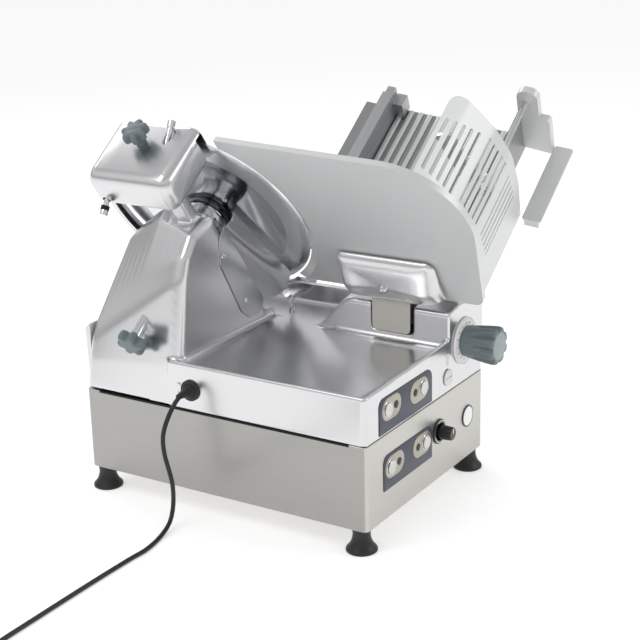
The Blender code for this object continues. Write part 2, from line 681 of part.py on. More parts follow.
SPINDLE_RADIUS = 0.0045
hone_frame, grind_frame = spindle(hone_at), spindle(grind_at)
cut(housing, disc("knob_hole", 0.0045, high - 0.02, high + 0.02, "Z", 16, at(*knob_spot, 0)))
cut(housing, disc("hone_hole", SPINDLE_RADIUS + 0.0006, -0.04, 0.03, "Z", 16, hone_frame))
cut(housing, disc("grind_hole", SPINDLE_RADIUS + 0.0006, -0.03, 0.085, "Z", 16, grind_frame))
place(housing, blade_frame, CAST)
knob_frame = at(*knob_spot, 0)
knob_plan = lobes(0.0225, 0.006, 7, 56)
clamp = prism("sharpener_knob", knob_plan, high + 0.018, high + 0.033, "Z", knob_frame)
stem = [(0, high - 0.012), (0.004, high - 0.012), (0.004, high + GAP)]
stem += [(0.0075, high + GAP), (0.0075, high + 0.02), (0, high + 0.02)]
join(clamp, turned("stem", stem, "Z", 16, knob_frame))
place(clamp, blade_frame, GREY, (*knob_spot, high))
head = [(0, -0.010), (SPINDLE_RADIUS, -0.010), (SPINDLE_RADIUS, 0.016)]
head += [(0.0065, 0.016), (0.0065, 0.029), (0, 0.029)]
hone = turned("sharpener_button_hone", head, "Z", 16, hone_frame)
hook = box("hook", (-0.030, -0.023, high - 0.0110), (0.0062, -0.017, high - 0.0075))
join(hone, hook)
place(hone, blade_frame, BRIGHT, hone_at)
hone_spot = (0, -0.020, BLADE_RADIUS - 0.0050)
hone_stone = ring("honing_stone", 0.002, 0.0065, 0.0030, 0.0062, "X", 20, at(*hone_spot))
place(hone_stone, blade_frame, STONE, hone_spot)
tip = 0.075
head = [(0, -0.028), (0.0065, -0.028), (0.0065, -0.012)]
head += [(SPINDLE_RADIUS, -0.012), (SPINDLE_RADIUS, tip), (0, tip)]
place(turned("sharpener_button_grind", head, "Z", 16, grind_frame), blade_frame, BRIGHT, grind_at)
grind_stone = disc("grinding_stone", 0.009, tip + GAP, tip + 0.008, "Z", 24, grind_frame)
place(grind_stone, blade_frame, STONE, grind_at)

# Carriage: tray, fence, slotted guard, pusher and handle
L = TRAY_LENGTH
near, far = -0.0282, TRAY_WIDTH - 0.030
tray_plan = [(0, near), (GUARD_LENGTH, near), (GUARD_LENGTH, 0.013), (L, 0.013), (L, far), (0, far)]
tray = prism("product_tray", tray_plan, 0, 0.0055, "Z")
ribs = 13
for k in range(ribs):
    y = 0.040 + k * (0.248 - 0.040) / (ribs - 1)
    join(tray, box("rib", (0.003, y - 0.003, 0.004), (L - 0.002, y + 0.003, 0.0072)))
join(tray, box("side_strip", (GUARD_LENGTH + 0.001, 0.013, 0.004), (L - 0.0255, 0.0155, 0.100)))
place(tray, carriage_frame, ANODISED)
wall = [(0.255, 0.0075), (0.283, 0.0075), (0.283, 0.043), (0.270, 0.043), (0.270, 0.060), (0.255, 0.060)]
fence = prism("tray_fence", wall, 0.001, L, "X")
join(fence, box("slide_block", (L - 0.021, 0.238, 0.0075), (L + 0.005, 0.256, 0.040)))
place(fence, carriage_frame, ANODISED)
outer = [(-0.0305, 0.0), (-0.033, 0.087), (-0.027, 0.153), (-0.0044, 0.2064), (0.0305, 0.2535), (0.0553, 0.276)]


def offset(line, distance):
    """The same line moved sideways, to its right."""
    found = []
    for k, point in enumerate(line):
        before = Vector(point) - Vector(line[max(k - 1, 0)])
        after = Vector(line[min(k + 1, len(line) - 1)]) - Vector(point)
        way = (before.normalized() + after.normalized()).normalized()
        found.append((point[0] + way.y * distance, point[1] - way.x * distance))
    return found


guard_outline = outer + list(reversed(offset(outer, SHEET)))
slotted = prism("slotted_guard", guard_outline, 0, GUARD_LENGTH, "X")
SLOT_GROUPS = (
    ((0.047, 0.2685), (0.008, 0.2235), 5, 0.0068, 0.015, (0.141, 0.118)),
    ((-0.0052, 0.2045), (-0.0262, 0.155), 5, 0.0062, 0.019, (0.149, 0.149)),
    ((-0.0308, 0.127), (-0.0325, 0.078), 5, 0.0036, 0.021, (0.146, 0.146)),
)
for start, end, count, width, x_low, x_high in SLOT_GROUPS:
    first, last = Vector(end), Vector(start)
    along = (last - first).normalized()
    angle = math.atan2(along.y, along.x)
    for k in range(count):
        share = k / (count - 1)
        middle = first + (last - first) * share
        reach = x_high[0] + (x_high[1] - x_high[0]) * share
        plan = [(x_low, -width / 2), (reach, -width / 2), (reach, width / 2), (x_low, width / 2)]
        spot = at(0, middle.x, middle.y) @ Matrix.Rotation(angle, 4, "X")
        cut(slotted, prism("slot", rounded(plan, width * 0.49, 3), -0.012, 0.012, "Z", spot))
place(slotted, carriage_frame, ANODISED)
ROD = (0.0017, 0.1176)
rod_x = L - 0.025
bar = disc("pusher_rod", 0.005, 0.010, rod_x - GAP, "X", 20, at(0, *ROD))
foot = box("rod_foot", (0.004, ROD[0] - 0.0285, ROD[1] - 0.008), (0.012, ROD[0] + 0.007, ROD[1] + 0.008))
place(join(bar, foot), carriage_frame, BRIGHT)
bracket = [
    (-0.037, 0.0045),
    (0.0175, 0.0075),
    (0.0175, 0.1455),
    (-0.019, 0.1455),
    (-0.019, 0.086),
    (-0.037, 0.086),
]
bracket = rounded(bracket, [0, 0, 0.015, 0.015, 0, 0.006], 5)
post = prism("rod_bracket", bracket, rod_x, rod_x + 0.013, "X")
cut(post, box("notch", (rod_x - 0.02, 0.0125, -0.01), (rod_x + 0.03, 0.03, 0.0075)))
place(post, carriage_frame, CAST)
handle_plan = [(0.157, -0.070), (L - 0.0095, -0.070), (L - 0.0095, -0.0373), (0.157, -0.0373)]
handle = prism("carriage_handle", rounded(handle_plan, [0.004] * 4, 3), 0.0045, 0.0085, "Z")
join(handle, box("lip", (0.157, -0.066, -0.008), (0.160, -0.0412, 0.006)))
place(handle, carriage_frame, ANODISED)
RAIL_Z = BASE_TOP + 0.028
rail_x = W - 0.045
rail = disc("carriage_rail", 0.008, 0.008 + GAP, D - 0.008 - GAP, "Y", 20, at(rail_x, 0, RAIL_Z))
place(rail, machine, BRIGHT)
arm_low = (rail_x - 0.016, ARM_NEAR, RAIL_Z - 0.0125)
arm = box("carriage_arm", arm_low, (W + 0.030, ARM_FAR, RAIL_Z + 0.0125))
join(arm, box("upright", (W + 0.012, ARM_NEAR, RAIL_Z - 0.012), (W + 0.030, ARM_FAR, DECK + 0.30)))
cut(arm, disc("runner_hole", 0.0083, 0, 0.3, "Y", 20, at(rail_x, 0, RAIL_Z)))
over = box("over_tray", (-0.5, -0.5, -GAP), (0.7, 0.7, 0.5), CARRIAGE_FRAME)
cut(arm, over)
place(arm, machine, CAST)
hub_x = 0.110
sleeve_profile = [
    (0.0053, hub_x),
    (0.0115, hub_x),
    (0.0115, hub_x + 0.003),
    (0.0078, hub_x + 0.003),
    (0.0078, hub_x + 0.027),
    (0.0115, hub_x + 0.027),
    (0.0115, hub_x + 0.030),
    (0.0053, hub_x + 0.030),
]
place(turned("pusher_sleeve", sleeve_profile, "X", 24, at(0, *ROD)), carriage_frame, BRIGHT, (0, *ROD))
pusher = ring("pusher", 0.0081, 0.0125, hub_x + 0.0033, hub_x + 0.0267, "X", 24)
join(pusher, box("palm", (hub_x + 0.012, 0.0095, -0.038), (hub_x + 0.018, 0.118, -0.005)))
join(pusher, box("palm_arm", (hub_x + 0.009, 0.0100, -0.009), (hub_x + 0.021, 0.060, 0.003)))
PUSHER_PARK = math.radians(70)
pusher.data.transform(Matrix.Rotation(PUSHER_PARK, 4, "X"))
pusher.data.transform(at(0, *ROD))
place(pusher, carriage_frame, CAST, (0, *ROD))
drive = disc("carriage_motor", 0.038, 0.19, 0.32, "Y", 24, at(W - 0.105, 0, FOOT_HEIGHT + 0.055))
stand = box("stand", (W - 0.135, 0.21, FOOT_HEIGHT + 0.003 + GAP), (W - 0.075, 0.30, FOOT_HEIGHT + 0.04))
place(join(drive, stand), machine, MOTOR)


# Power cord, its coil and plug
def smooth(route, count):
    """Points evenly spread on a smooth curve through the route."""
    route = [Vector(point) for point in route]
    dense = []
    for k in range(len(route) - 1):
        p0 = route[max(k - 1, 0)]
        p1, p2 = route[k], route[k + 1]
        p3 = route[min(k + 2, len(route) - 1)]
        for j in range(16):
            t = j / 16
            a = 2 * p1 + (p2 - p0) * t
            b = (2 * p0 - 5 * p1 + 4 * p2 - p3) * t**2
            c = (3 * p1 - p0 - 3 * p2 + p3) * t**3
            dense.append((a + b + c) / 2)
    dense.append(route[-1])
    lengths = [0]
    for k in range(1, len(dense)):
        lengths.append(lengths[-1] + (dense[k] - dense[k - 1]).length)
    found = []
    k = 0
    for j in range(count):
        goal = lengths[-1] * j / (count - 1)
        while k < len(dense) - 2 and lengths[k + 1] < goal:
            k += 1
        share = (goal - lengths[k]) / (lengths[k + 1] - lengths[k])
        found.append(dense[k].lerp(dense[k + 1], share))
    return found


CORD_END_X = -CORD_FLOOR_RUN
gland_y, gland_z = GLAND
low = CORD_RADIUS + 0.0001
cord_route = [
    (-0.012 - GAP, gland_y, gland_z),
    (-0.024, gland_y, gland_z),
    (-0.040, gland_y, gland_z - 0.006),
    (-0.058, gland_y + 0.003, gland_z - 0.027),
    (-0.067, gland_y + 0.008, gland_z - 0.056),
    (-0.067, gland_y + 0.007, gland_z - 0.087),
    (-0.064, gland_y + 0.002, gland_z - 0.116),
    (-0.060, gland_y, 0.4 * gland_z - 0.014),
    (-0.060, gland_y + 0.001, 0.2 * gland_z - 0.004),
    (-0.073, gland_y, low + 0.0095),
    (-0.108, gland_y - 0.0065, low),
    (-0.153, gland_y - 0.0140, low),
    (-0.186, gland_y - 0.0120, low),
    (-0.25, gland_y - 0.0100, low),
    (-0.32, gland_y - 0.0090, low),
    (-0.40, gland_y - 0.0085, low),
    (-0.47, gland_y - 0.0085, low),
    (CORD_END_X, gland_y - 0.0085, low),
]
points = smooth(cord_route, 56)
line = bpy.data.curves.new("power_cord", "CURVE")
line.dimensions = "3D"
line.bevel_depth = CORD_RADIUS
line.bevel_resolution = 2
line.use_fill_caps = True
spline = line.splines.new("POLY")
spline.points.add(len(points) - 1)
for knot, point in zip(spline.points, points):
    knot.co = (*point, 1)
cord = bpy.data.objects.new("power_cord", line)
line.materials.append(RUBBER)
bpy.context.scene.collection.objects.link(cord)
cord.parent = machine
COIL_RADIUS = 11 * CORD_RADIUS
coil_out = COIL_RADIUS + 2 * CORD_RADIUS
coil_x = CORD_END_X - GAP - coil_out
coil_y = gland_y - 0.0085
coil_in = COIL_RADIUS - 2 * CORD_RADIUS
coil_frame = at(coil_x, coil_y, 0)
coil = ring("cord_coil", coil_in, coil_out, 0, 6 * CORD_RADIUS, "Z", 48, coil_frame)
place(coil, machine, RUBBER)
plug_x = coil_x - coil_out - GAP
plug = box("plug", (plug_x - 0.050, coil_y - 0.018, 0), (plug_x, coil_y + 0.018, 0.026))
for y in (-0.0095, 0.0095):
    join(plug, disc("pin", 0.0024, -0.020, 0.004, "X", 12, at(plug_x - 0.050, coil_y + y, 0.013)))
place(plug, machine, RUBBER)

# The object's origin goes under the middle of everything except the cord
bpy.context.view_layer.update()
FREE = ("power_cord", "cord_coil", "plug")
spread = []
for part in bpy.context.scene.objects:
    if part.type == "MESH" and part.name not in FREE:
        spread += [part.matrix_world @ corner.co for corner in part.data.vertices]
middle_x = (min(p.x for p in spread) + max(p.x for p in spread)) / 2
middle_y = (min(p.y for p in spread) + max(p.y for p in spread)) / 2
machine.location = (-middle_x, -middle_y, 0)
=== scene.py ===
import json
import math

import bpy
from bpy.props import FloatProperty, FloatVectorProperty, IntProperty, PointerProperty
from mathutils import Matrix, Vector


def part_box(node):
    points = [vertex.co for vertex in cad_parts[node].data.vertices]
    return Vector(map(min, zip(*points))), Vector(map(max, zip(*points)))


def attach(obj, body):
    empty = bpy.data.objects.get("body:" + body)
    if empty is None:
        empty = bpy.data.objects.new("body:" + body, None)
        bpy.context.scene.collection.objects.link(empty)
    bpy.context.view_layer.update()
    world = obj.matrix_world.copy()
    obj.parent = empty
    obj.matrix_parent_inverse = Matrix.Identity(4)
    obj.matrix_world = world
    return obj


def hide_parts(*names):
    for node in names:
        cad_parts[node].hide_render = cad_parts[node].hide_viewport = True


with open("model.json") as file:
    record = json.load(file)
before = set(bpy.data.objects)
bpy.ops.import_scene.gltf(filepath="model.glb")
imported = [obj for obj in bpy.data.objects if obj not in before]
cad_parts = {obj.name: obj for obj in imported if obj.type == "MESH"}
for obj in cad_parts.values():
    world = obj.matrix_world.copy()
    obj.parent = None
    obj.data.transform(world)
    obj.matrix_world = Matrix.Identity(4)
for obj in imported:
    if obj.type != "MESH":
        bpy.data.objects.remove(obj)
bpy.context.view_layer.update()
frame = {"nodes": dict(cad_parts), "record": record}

bl_info = {
    "name": "Deli meat slicer", "version": (1, 0, 0), "blender": (4, 5, 0),
    "location": "3D View > Sidebar > Slicer",
    "description": "Builds the finished surface of a gravity-feed deli slicer on its CAD frame",
    "category": "Object",
}

# Layout: X to the right, Y away from the operator, from the base's front left corner
BASE_LOW, BASE_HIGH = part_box("base_box")
CORNER_X, CORNER_Y = BASE_LOW[0], BASE_LOW[1]
WIDTH = BASE_HIGH[0] - BASE_LOW[0]
DEPTH = BASE_HIGH[1] - BASE_LOW[1]
FOOT_TOP = BASE_LOW[2]
BASE_TOP = BASE_HIGH[2] + 0.0003
DECK = BASE_TOP + 0.0734
RIM = DECK + 0.0036
BLOCK_LEFT = WIDTH - 0.124
BLOCK_TOP = DECK + 0.059
blade_low, blade_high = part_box("blade")
HUB = (Vector(blade_low) + Vector(blade_high)) / 2
BLADE_RADIUS = (blade_high[1] - blade_low[1]) / 2
TILT = math.radians(36)
TRAY_RISE = math.radians(10)
BLADE_FRAME = Matrix.Translation(HUB) @ Matrix.Rotation(-TILT, 4, "Y")
tray_corner = BLADE_FRAME @ Vector((0.0131, -(BLADE_RADIUS + 0.2488), -(BLADE_RADIUS - 0.0463)))
CARRIAGE_FRAME = (
    Matrix.Translation(tray_corner) @ Matrix.Rotation(-TILT, 4, "Y") @ Matrix.Rotation(TRAY_RISE, 4, "X")
)
LAYOUT = Matrix.Translation((CORNER_X, CORNER_Y, 0))
TOWER_FRONT = HUB.y - CORNER_Y - 0.0745
TOWER_FACE = -0.062
CORD_EXIT = (0.322, DECK - 0.0384)
DIAL_AT = (WIDTH - 0.071, DECK - 0.0009)
SELECTOR_AT = (0.235, FOOT_TOP + 0.083)
BADGE_AT = (WIDTH - 0.057, FOOT_TOP + 0.0736)
FOOT_INSET_X, FOOT_INSET_Y = 0.0165, 0.0195
GAUGE_ARM_Y = -0.315
SHARPENER_LEAN = math.radians(26)
CAMERA_TURN = (-57.7565, 18.3737, -1.4084)
CAMERA_SPOT = (-1.8173 + CORNER_X, -1.0711 + CORNER_Y, 1.0841)
CAMERA_LENS = 86.14


# ---------------------------------------------------------------- what a user would change
def linear(hex_colour):
    """An sRGB hex colour as linear numbers."""
    values = [int(hex_colour[k : k + 2], 16) / 255 for k in (1, 3, 5)]
    return [v / 12.92 if v <= 0.04045 else ((v + 0.055) / 1.055) ** 2.4 for v in values]


def tint(name, words, hex_colour):
    """A colour property with its default given in sRGB."""
    return FloatVectorProperty(
        name=name, description=words, subtype="COLOR", size=3, min=0, max=1, default=linear(hex_colour)
    )


class SlicerSizes(bpy.types.PropertyGroup):
    """Sizes of the finished surface that the CAD frame leaves open."""

    cord_radius: FloatProperty(
        name="Cord radius", description="Half the width of the power cord", default=0.0037, unit="LENGTH"
    )
    rim_rise: FloatProperty(
        name="Rim rise", description="How much the front rim climbs to the block", default=0.009,
        unit="LENGTH",
    )
    cast_cell: FloatProperty(
        name="Casting cell", description="Cell size that the cast body is fused with", default=0.0026,
        unit="LENGTH",
    )
    cast_ease: IntProperty(
        name="Casting softness", description="Rounds of smoothing over the inside corners", default=6,
        min=0,
    )
    cover_knob: FloatProperty(
        name="Cover knob", description="Radius of the blade cover's lobed knob", default=0.0255,
        unit="LENGTH",
    )
    clamp_knob: FloatProperty(
        name="Clamp knob", description="Radius of the sharpener's lobed knob", default=0.0232,
        unit="LENGTH",
    )


class SlicerColours(bpy.types.PropertyGroup):
    """Colours of the main finishes."""

    cast: tint("Cast aluminium", "Polished casting", "#dadadb")
    stainless: tint("Stainless sheet", "Brushed front of the base", "#cbc9c3")
    # Painted shade: a darker copy of the stainless colour for the base's left side
    stainless_side: tint("Stainless side", "Brushed left side of the base", "#aaa9a6")
    anodised: tint("Anodised plate", "Gauge plate, guard and handle", "#dadbdb")
    blade: tint("Blade", "Polished blade steel", "#dadde1")
    rubber: tint("Rubber", "Feet, cord and bushes", "#1b1b1c")
    knobs: tint("Knobs", "Moulded nylon of the knobs", "#6a7779")
    film: tint("Panel film", "Printed film of the control panels", "#3f4350")


# ---------------------------------------------------------------- modelling helpers
def alone(piece):
    """Selects one object and makes it active."""
    if bpy.context.mode != "OBJECT":
        bpy.ops.object.mode_set(mode="OBJECT")
    bpy.ops.object.select_all(action="DESELECT")
    piece.select_set(True)
    bpy.context.view_layer.objects.active = piece


def shaped(piece, *steps):
    """Runs edit-mode steps on all of a piece."""
    alone(piece)
    bpy.ops.object.mode_set(mode="EDIT")
    bpy.ops.mesh.select_all(action="SELECT")
    for step in steps:
        step()
    bpy.ops.object.mode_set(mode="OBJECT")


def merge():
    """Joins corners that lie on each other."""
    bpy.ops.mesh.remove_doubles(threshold=2e-6)


def flatten():
    """Joins faces that lie in one plane."""
    bpy.ops.mesh.dissolve_limited(angle_limit=math.radians(0.6))


def face_out():
    """Turns every face outwards."""
    bpy.ops.mesh.normals_make_consistent(inside=False)


def skin(name, rings, matrix):
    """A circle extruded ring by ring, capped, with its corners then put on the given outlines."""
    bpy.ops.object.select_all(action="DESELECT")
    bpy.ops.mesh.primitive_circle_add(vertices=len(rings[0]), fill_type="NOTHING")
    piece = bpy.context.object
    piece.name = piece.data.name = name
    for k, corner in enumerate(piece.data.vertices):
        corner.co = (k, 0, 0)
    bpy.ops.object.mode_set(mode="EDIT")
    bpy.ops.mesh.select_all(action="SELECT")
    for _ in rings[1:]:
        bpy.ops.mesh.extrude_region_move(TRANSFORM_OT_translate={"value": (0, 0, 1)})
    bpy.ops.object.mode_set(mode="OBJECT")
    places = [(round(v.co.x), round(v.co.z)) for v in piece.data.vertices]
    for level in (0, len(rings) - 1):
        bpy.ops.object.mode_set(mode="EDIT")
        bpy.ops.mesh.select_mode(type="VERT")
        bpy.ops.mesh.select_all(action="DESELECT")
        bpy.ops.object.mode_set(mode="OBJECT")
        for v, place in zip(piece.data.vertices, places):
            v.select = place[1] == level
        bpy.ops.object.mode_set(mode="EDIT")
        bpy.ops.mesh.edge_face_add()
        bpy.ops.object.mode_set(mode="OBJECT")
    for v, place in zip(piece.data.vertices, places):
        v.co = matrix @ Vector(rings[place[1]][place[0]])
    shaped(piece, merge, face_out)
    return piece


def seated(axis, along, a, b):
    """A point by its distance along an axis and its place across it."""
    return {"X": (along, a, b), "Y": (a, along, b), "Z": (a, b, along)}[axis]


def swept(outline, levels, axis):
    """Rings of one outline at several levels along an axis."""
    return [[seated(axis, level, a, b) for a, b in outline] for level in levels]


def plate(name, outline, low, high, axis, matrix=LAYOUT, round_edge=0.0, segments=2):
    """A flat outline with thickness along an axis."""
    piece = skin(name, swept(outline, (low, high), axis), matrix)
    if round_edge:
        soften(piece, round_edge, segments)
    return piece


def block(name, low, high, matrix=LAYOUT):
    """A box between two corners."""
    outline = [(low[0], low[1]), (high[0], low[1]), (high[0], high[1]), (low[0], high[1])]
    return plate(name, outline, low[2], high[2], "Z", matrix)


def circle(radius, along, axis, steps, centre=(0, 0)):
    """A ring of points round an axis."""
    ring = []
    for k in range(steps):
        a = centre[0] + radius * math.cos(2 * math.pi * k / steps)
        b = centre[1] + radius * math.sin(2 * math.pi * k / steps)
        ring.append(seated(axis, along, a, b))
    return ring


def turned(name, profile, axis="Z", steps=48, matrix=LAYOUT, centre=(0, 0)):
    """A profile of (radius, distance along the axis) turned on the axis, open or capped."""
    rings = [circle(max(r, 1e-5), along, axis, steps, centre) for r, along in profile]
    return skin(name, rings, matrix)


def soften(piece, width, segments=2, angle=30):
    """Rounds every edge sharper than the angle."""
    bevel = piece.modifiers.new("round", "BEVEL")
    bevel.width = width
    bevel.segments = segments
    bevel.limit_method = "ANGLE"
    bevel.angle_limit = math.radians(angle)
    bevel.use_clamp_overlap = True
    alone(piece)
    bpy.ops.object.modifier_apply(modifier=bevel.name)


def carve(piece, tool, operation="DIFFERENCE"):
    """Cuts the tool from the piece, or joins it on."""
    step = piece.modifiers.new("step", "BOOLEAN")
    step.operation = operation
    step.solver = "EXACT"
    step.object = tool
    alone(piece)
    bpy.ops.object.modifier_apply(modifier=step.name)
    bpy.data.objects.remove(tool)
    return piece


def rounded(corners, radii, steps=5):
    """An outline with each corner turned by an arc that meets both its sides."""
    found = []
    for k, corner in enumerate(corners):
        here = Vector(corner)
        radius = radii[k] if isinstance(radii, (list, tuple)) else radii
        if not radius:
            found.append(tuple(here))
            continue
        before = (Vector(corners[k - 1]) - here).normalized()
        after = (Vector(corners[(k + 1) % len(corners)]) - here).normalized()
        half = before.angle(after) / 2
        centre = here + (before + after).normalized() * radius / math.sin(half)
        start = here + before * radius / math.tan(half) - centre
        end = here + after * radius / math.tan(half) - centre
        turn = start.angle_signed(end)
        for j in range(steps + 1):
            found.append(tuple(centre + Matrix.Rotation(-turn * j / steps, 2) @ start))
    return found


def from_frame(node, name, width=0.0006, segments=2, angle=30):
    """A merged copy of a CAD node with its flat faces whole again and its edges rounded."""
    source = frame["nodes"][node]
    piece = source.copy()
    piece.data = source.data.copy()
    piece.name = piece.data.name = name
    piece.parent = None
    for key in list(piece.keys()):
        del piece[key]
    piece.hide_render = False
    bpy.context.scene.collection.objects.link(piece)
    shaped(piece, merge, flatten, face_out)
    if width:
        soften(piece, width, segments, angle)
    return piece


def keep(piece, body, look, replaces=(), smooth=35, flat=False):
    """Shades a finished piece, gives it its material and body, and what it stands for."""
    alone(piece)
    bpy.ops.object.shade_smooth_by_angle(angle=math.radians(smooth))
    if flat:
        weigh = piece.modifiers.new("flat faces", "WEIGHTED_NORMAL")
        weigh.keep_sharp = True
        bpy.ops.object.modifier_apply(modifier=weigh.name)
    piece.data.materials.clear()
    piece.data.materials.append(bpy.data.materials[look])
    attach(piece, body)
    if replaces:
        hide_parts(*replaces)
    return piece


# ---------------------------------------------------------------- materials
def add_node(tree, kind, settings=(), links=()):
    """Adds a node, sets its values or sockets by name, and links its inputs."""
    node = tree.nodes.new(kind)
    for key, value in dict(settings).items():
        if key in node.inputs:
            node.inputs[key].default_value = value
        else:
            setattr(node, key, value)
    for socket, source in dict(links).items():
        tree.links.new(source, node.inputs[socket])
    return node


def surface(name, colour, metallic=0.0, roughness=0.5, coat=0.0, grain=None, bump=0.0, spread=0.0):
    """A Principled material; grain is a noise scale per metre on each axis, for bump and tone."""
    found = bpy.data.materials.new(name)
    found.use_nodes = True
    tree = found.node_tree
    shader = tree.nodes["Principled BSDF"]
    rgb = (*(linear(colour) if isinstance(colour, str) else colour), 1)
    shader.inputs["Base Color"].default_value = rgb
    shader.inputs["Metallic"].default_value = metallic
    shader.inputs["Roughness"].default_value = roughness
    if coat:
        shader.inputs["Coat Weight"].default_value = coat
        shader.inputs["Coat Roughness"].default_value = 0.1
    if grain:
        where = add_node(tree, "ShaderNodeTexCoord")
        scaled = add_node(
            tree, "ShaderNodeMapping", {"Scale": grain}, {"Vector": where.outputs["Object"]},
        )
        noise = add_node(
            tree, "ShaderNodeTexNoise", {"Scale": 1.0, "Detail": 3.0, "Roughness": 0.6},
            {"Vector": scaled.outputs["Vector"]},
        )
        if spread:
            tone = add_node(
                tree, "ShaderNodeMapRange",
                {
                    "From Min": 0.3, "From Max": 0.7, "To Min": roughness - spread,
                    "To Max": roughness + spread,
                },
                {"Value": noise.outputs["Fac"]},
            )
            tree.links.new(tone.outputs["Result"], shader.inputs["Roughness"])
            ramp = add_node(tree, "ShaderNodeValToRGB", {}, {"Fac": noise.outputs["Fac"]})
            ramp.color_ramp.elements[0].position = 0.3
            ramp.color_ramp.elements[1].position = 0.7
            ramp.color_ramp.elements[0].color = (*[c * (1 - spread) for c in rgb[:3]], 1)
            ramp.color_ramp.elements[1].color = (*[min(1, c * (1 + spread)) for c in rgb[:3]], 1)
            tree.links.new(ramp.outputs["Color"], shader.inputs["Base Color"])
        if bump:
            relief = add_node(
                tree, "ShaderNodeBump", {"Strength": 0.25, "Distance": bump},
                {"Height": noise.outputs["Fac"]},
            )
            tree.links.new(relief.outputs["Normal"], shader.inputs["Normal"])
    return found


def make_materials():
    """Every finish of the machine."""
    colours = bpy.context.scene.slicer_colours
    # Sand-cast aluminium, belt polished: soft wide highlights with a very fine tone change
    surface("cast_aluminium_polished", colours.cast, 1.0, 0.25, grain=(1500, 1500, 1500), bump=0.000004)
    # Stainless sheet with a horizontal brushed grain about 0.3 mm wide
    surface(
        "stainless_brushed", colours.stainless, 1.0, 0.38, grain=(9, 9, 1400), bump=0.00002, spread=0.05,
    )
    # The same sheet on the side turned from the light, its colour painted darker as shade: the grain runs
    # along the side
    surface(
        "stainless_side", colours.stainless_side, 1.0, 0.36, grain=(9, 9, 1100), bump=0.00002,
        spread=0.07,
    )
    # Matt anodised aluminium plate: pale and even, with no mirror reflection
    surface("aluminium_anodised", colours.anodised, 0.45, 0.44, grain=(1200, 1200, 1200), bump=0.000004)
    # Tray floor painted darker than its ribs: painted shade in the valleys between them
    surface("aluminium_tray_painted_shade", "#9c9d9e", 0.85, 0.4, grain=(1200, 1200, 1200), bump=0.000004)
    # The turned edge of the gauge plate, left bright
    surface("aluminium_machined", "#f0f0f0", 0.6, 0.3)
    # Extruded fence, anodised a shade darker
    surface("aluminium_fence", "#b4b5b6", 0.8, 0.4)
    # Pale lacquered shield
    surface("lacquer_pale", "#cfccc4", 0.3, 0.45)
    # Ground and polished blade steel: a clear mirror with a cold tint
    surface("blade_steel_polished", colours.blade, 1.0, 0.12)
    # Hollow-ground blade band: the same steel, a little softer, with a lighter colour that is a painted
    # highlight
    surface("blade_steel_ground_painted_highlight", "#eceef0", 1.0, 0.24)
    # Chrome-plated steel rod and buttons
    surface("chrome_plated", "#dcdddf", 1.0, 0.08)
    # Blackened steel hub: dark and glossy
    surface("steel_blackened", "#606266", 1.0, 0.18)
    # Stainless sheet bent for the slice deflector, lightly polished
    surface("stainless_sheet", "#c2c3c4", 1.0, 0.2)
    # Black moulded rubber: dull with a faint sheen
    surface("rubber_black", colours.rubber, 0.0, 0.45, grain=(900, 900, 900), bump=0.00002)
    # Grey-green glass-filled nylon for knobs, moulded
    surface("nylon_grey", colours.knobs, 0.0, 0.38, grain=(1200, 1200, 1200), bump=0.00001)
    surface("nylon_grey_light", "#93a09f", 0.0, 0.4)
    # Printed polyester film on the control panels
    surface("film_slate", colours.film, 0.0, 0.42)
    # Stamped button surround, warm silver lacquer
    surface("lacquer_silver", "#b3ad9f", 0.5, 0.35)
    # Domed push-button cap, satin steel
    surface("steel_satin", "#cfcfcb", 1.0, 0.28)
    # Black glossy ABS
    surface("abs_black", "#17171a", 0.0, 0.3, coat=0.2)
    # White ABS dial
    surface("abs_white", "#f6f6f4", 0.0, 0.4)
    # Black printing ink
    surface("ink_black", "#2a2a2c", 0.0, 0.6)
    # White paper label
    surface("paper_label", "#e4e4e2", 0.0, 0.7)
    # Bonded abrasive
    surface("abrasive_bonded", "#8c857c", 0.0, 0.9, grain=(2500, 2500, 2500), bump=0.0002)
    # Painted motor housing
    surface("enamel_dark", "#3a3d40", 0.0, 0.4)
    # Near-black painted shade for the deep gap between castings and inside holes
    surface("gap_painted_shade", "#0b0b0c", 0.0, 0.8)


PLAIN_LOOK = {
    "cast_aluminium": "cast_aluminium_polished", "brushed_steel": "stainless_brushed",
    "polished_steel": "chrome_plated", "anodised_aluminium": "aluminium_anodised",
    "black_rubber": "rubber_black", "grey_plastic": "nylon_grey", "dark_plastic": "abs_black",
    "panel_film": "film_slate", "white_plastic": "abs_white", "grinding_stone": "abrasive_bonded",
    "painted_motor": "enamel_dark",
}


def make_frame_looks():
    """Gives every CAD node the finish of its material slot."""
    for entry in frame["record"]["subparts"]:
        node = frame["nodes"][entry["node"]]
        node.data.materials.clear()
        node.data.materials.append(bpy.data.materials[PLAIN_LOOK[entry["material_slot"]]])


# ---------------------------------------------------------------- stage
def softbox(name, place, aim, size, power):
    """A rectangular studio light that faces a point."""
    light = bpy.data.lights.new(name, "AREA")
    light.shape = "RECTANGLE"
    light.size, light.size_y = size
    light.energy = power
    lamp = bpy.data.objects.new(name, light)
    bpy.context.scene.collection.objects.link(lamp)
    lamp.location = place
    lamp.rotation_euler = (Vector(aim) - Vector(place)).to_track_quat("-Z", "Y").to_euler()


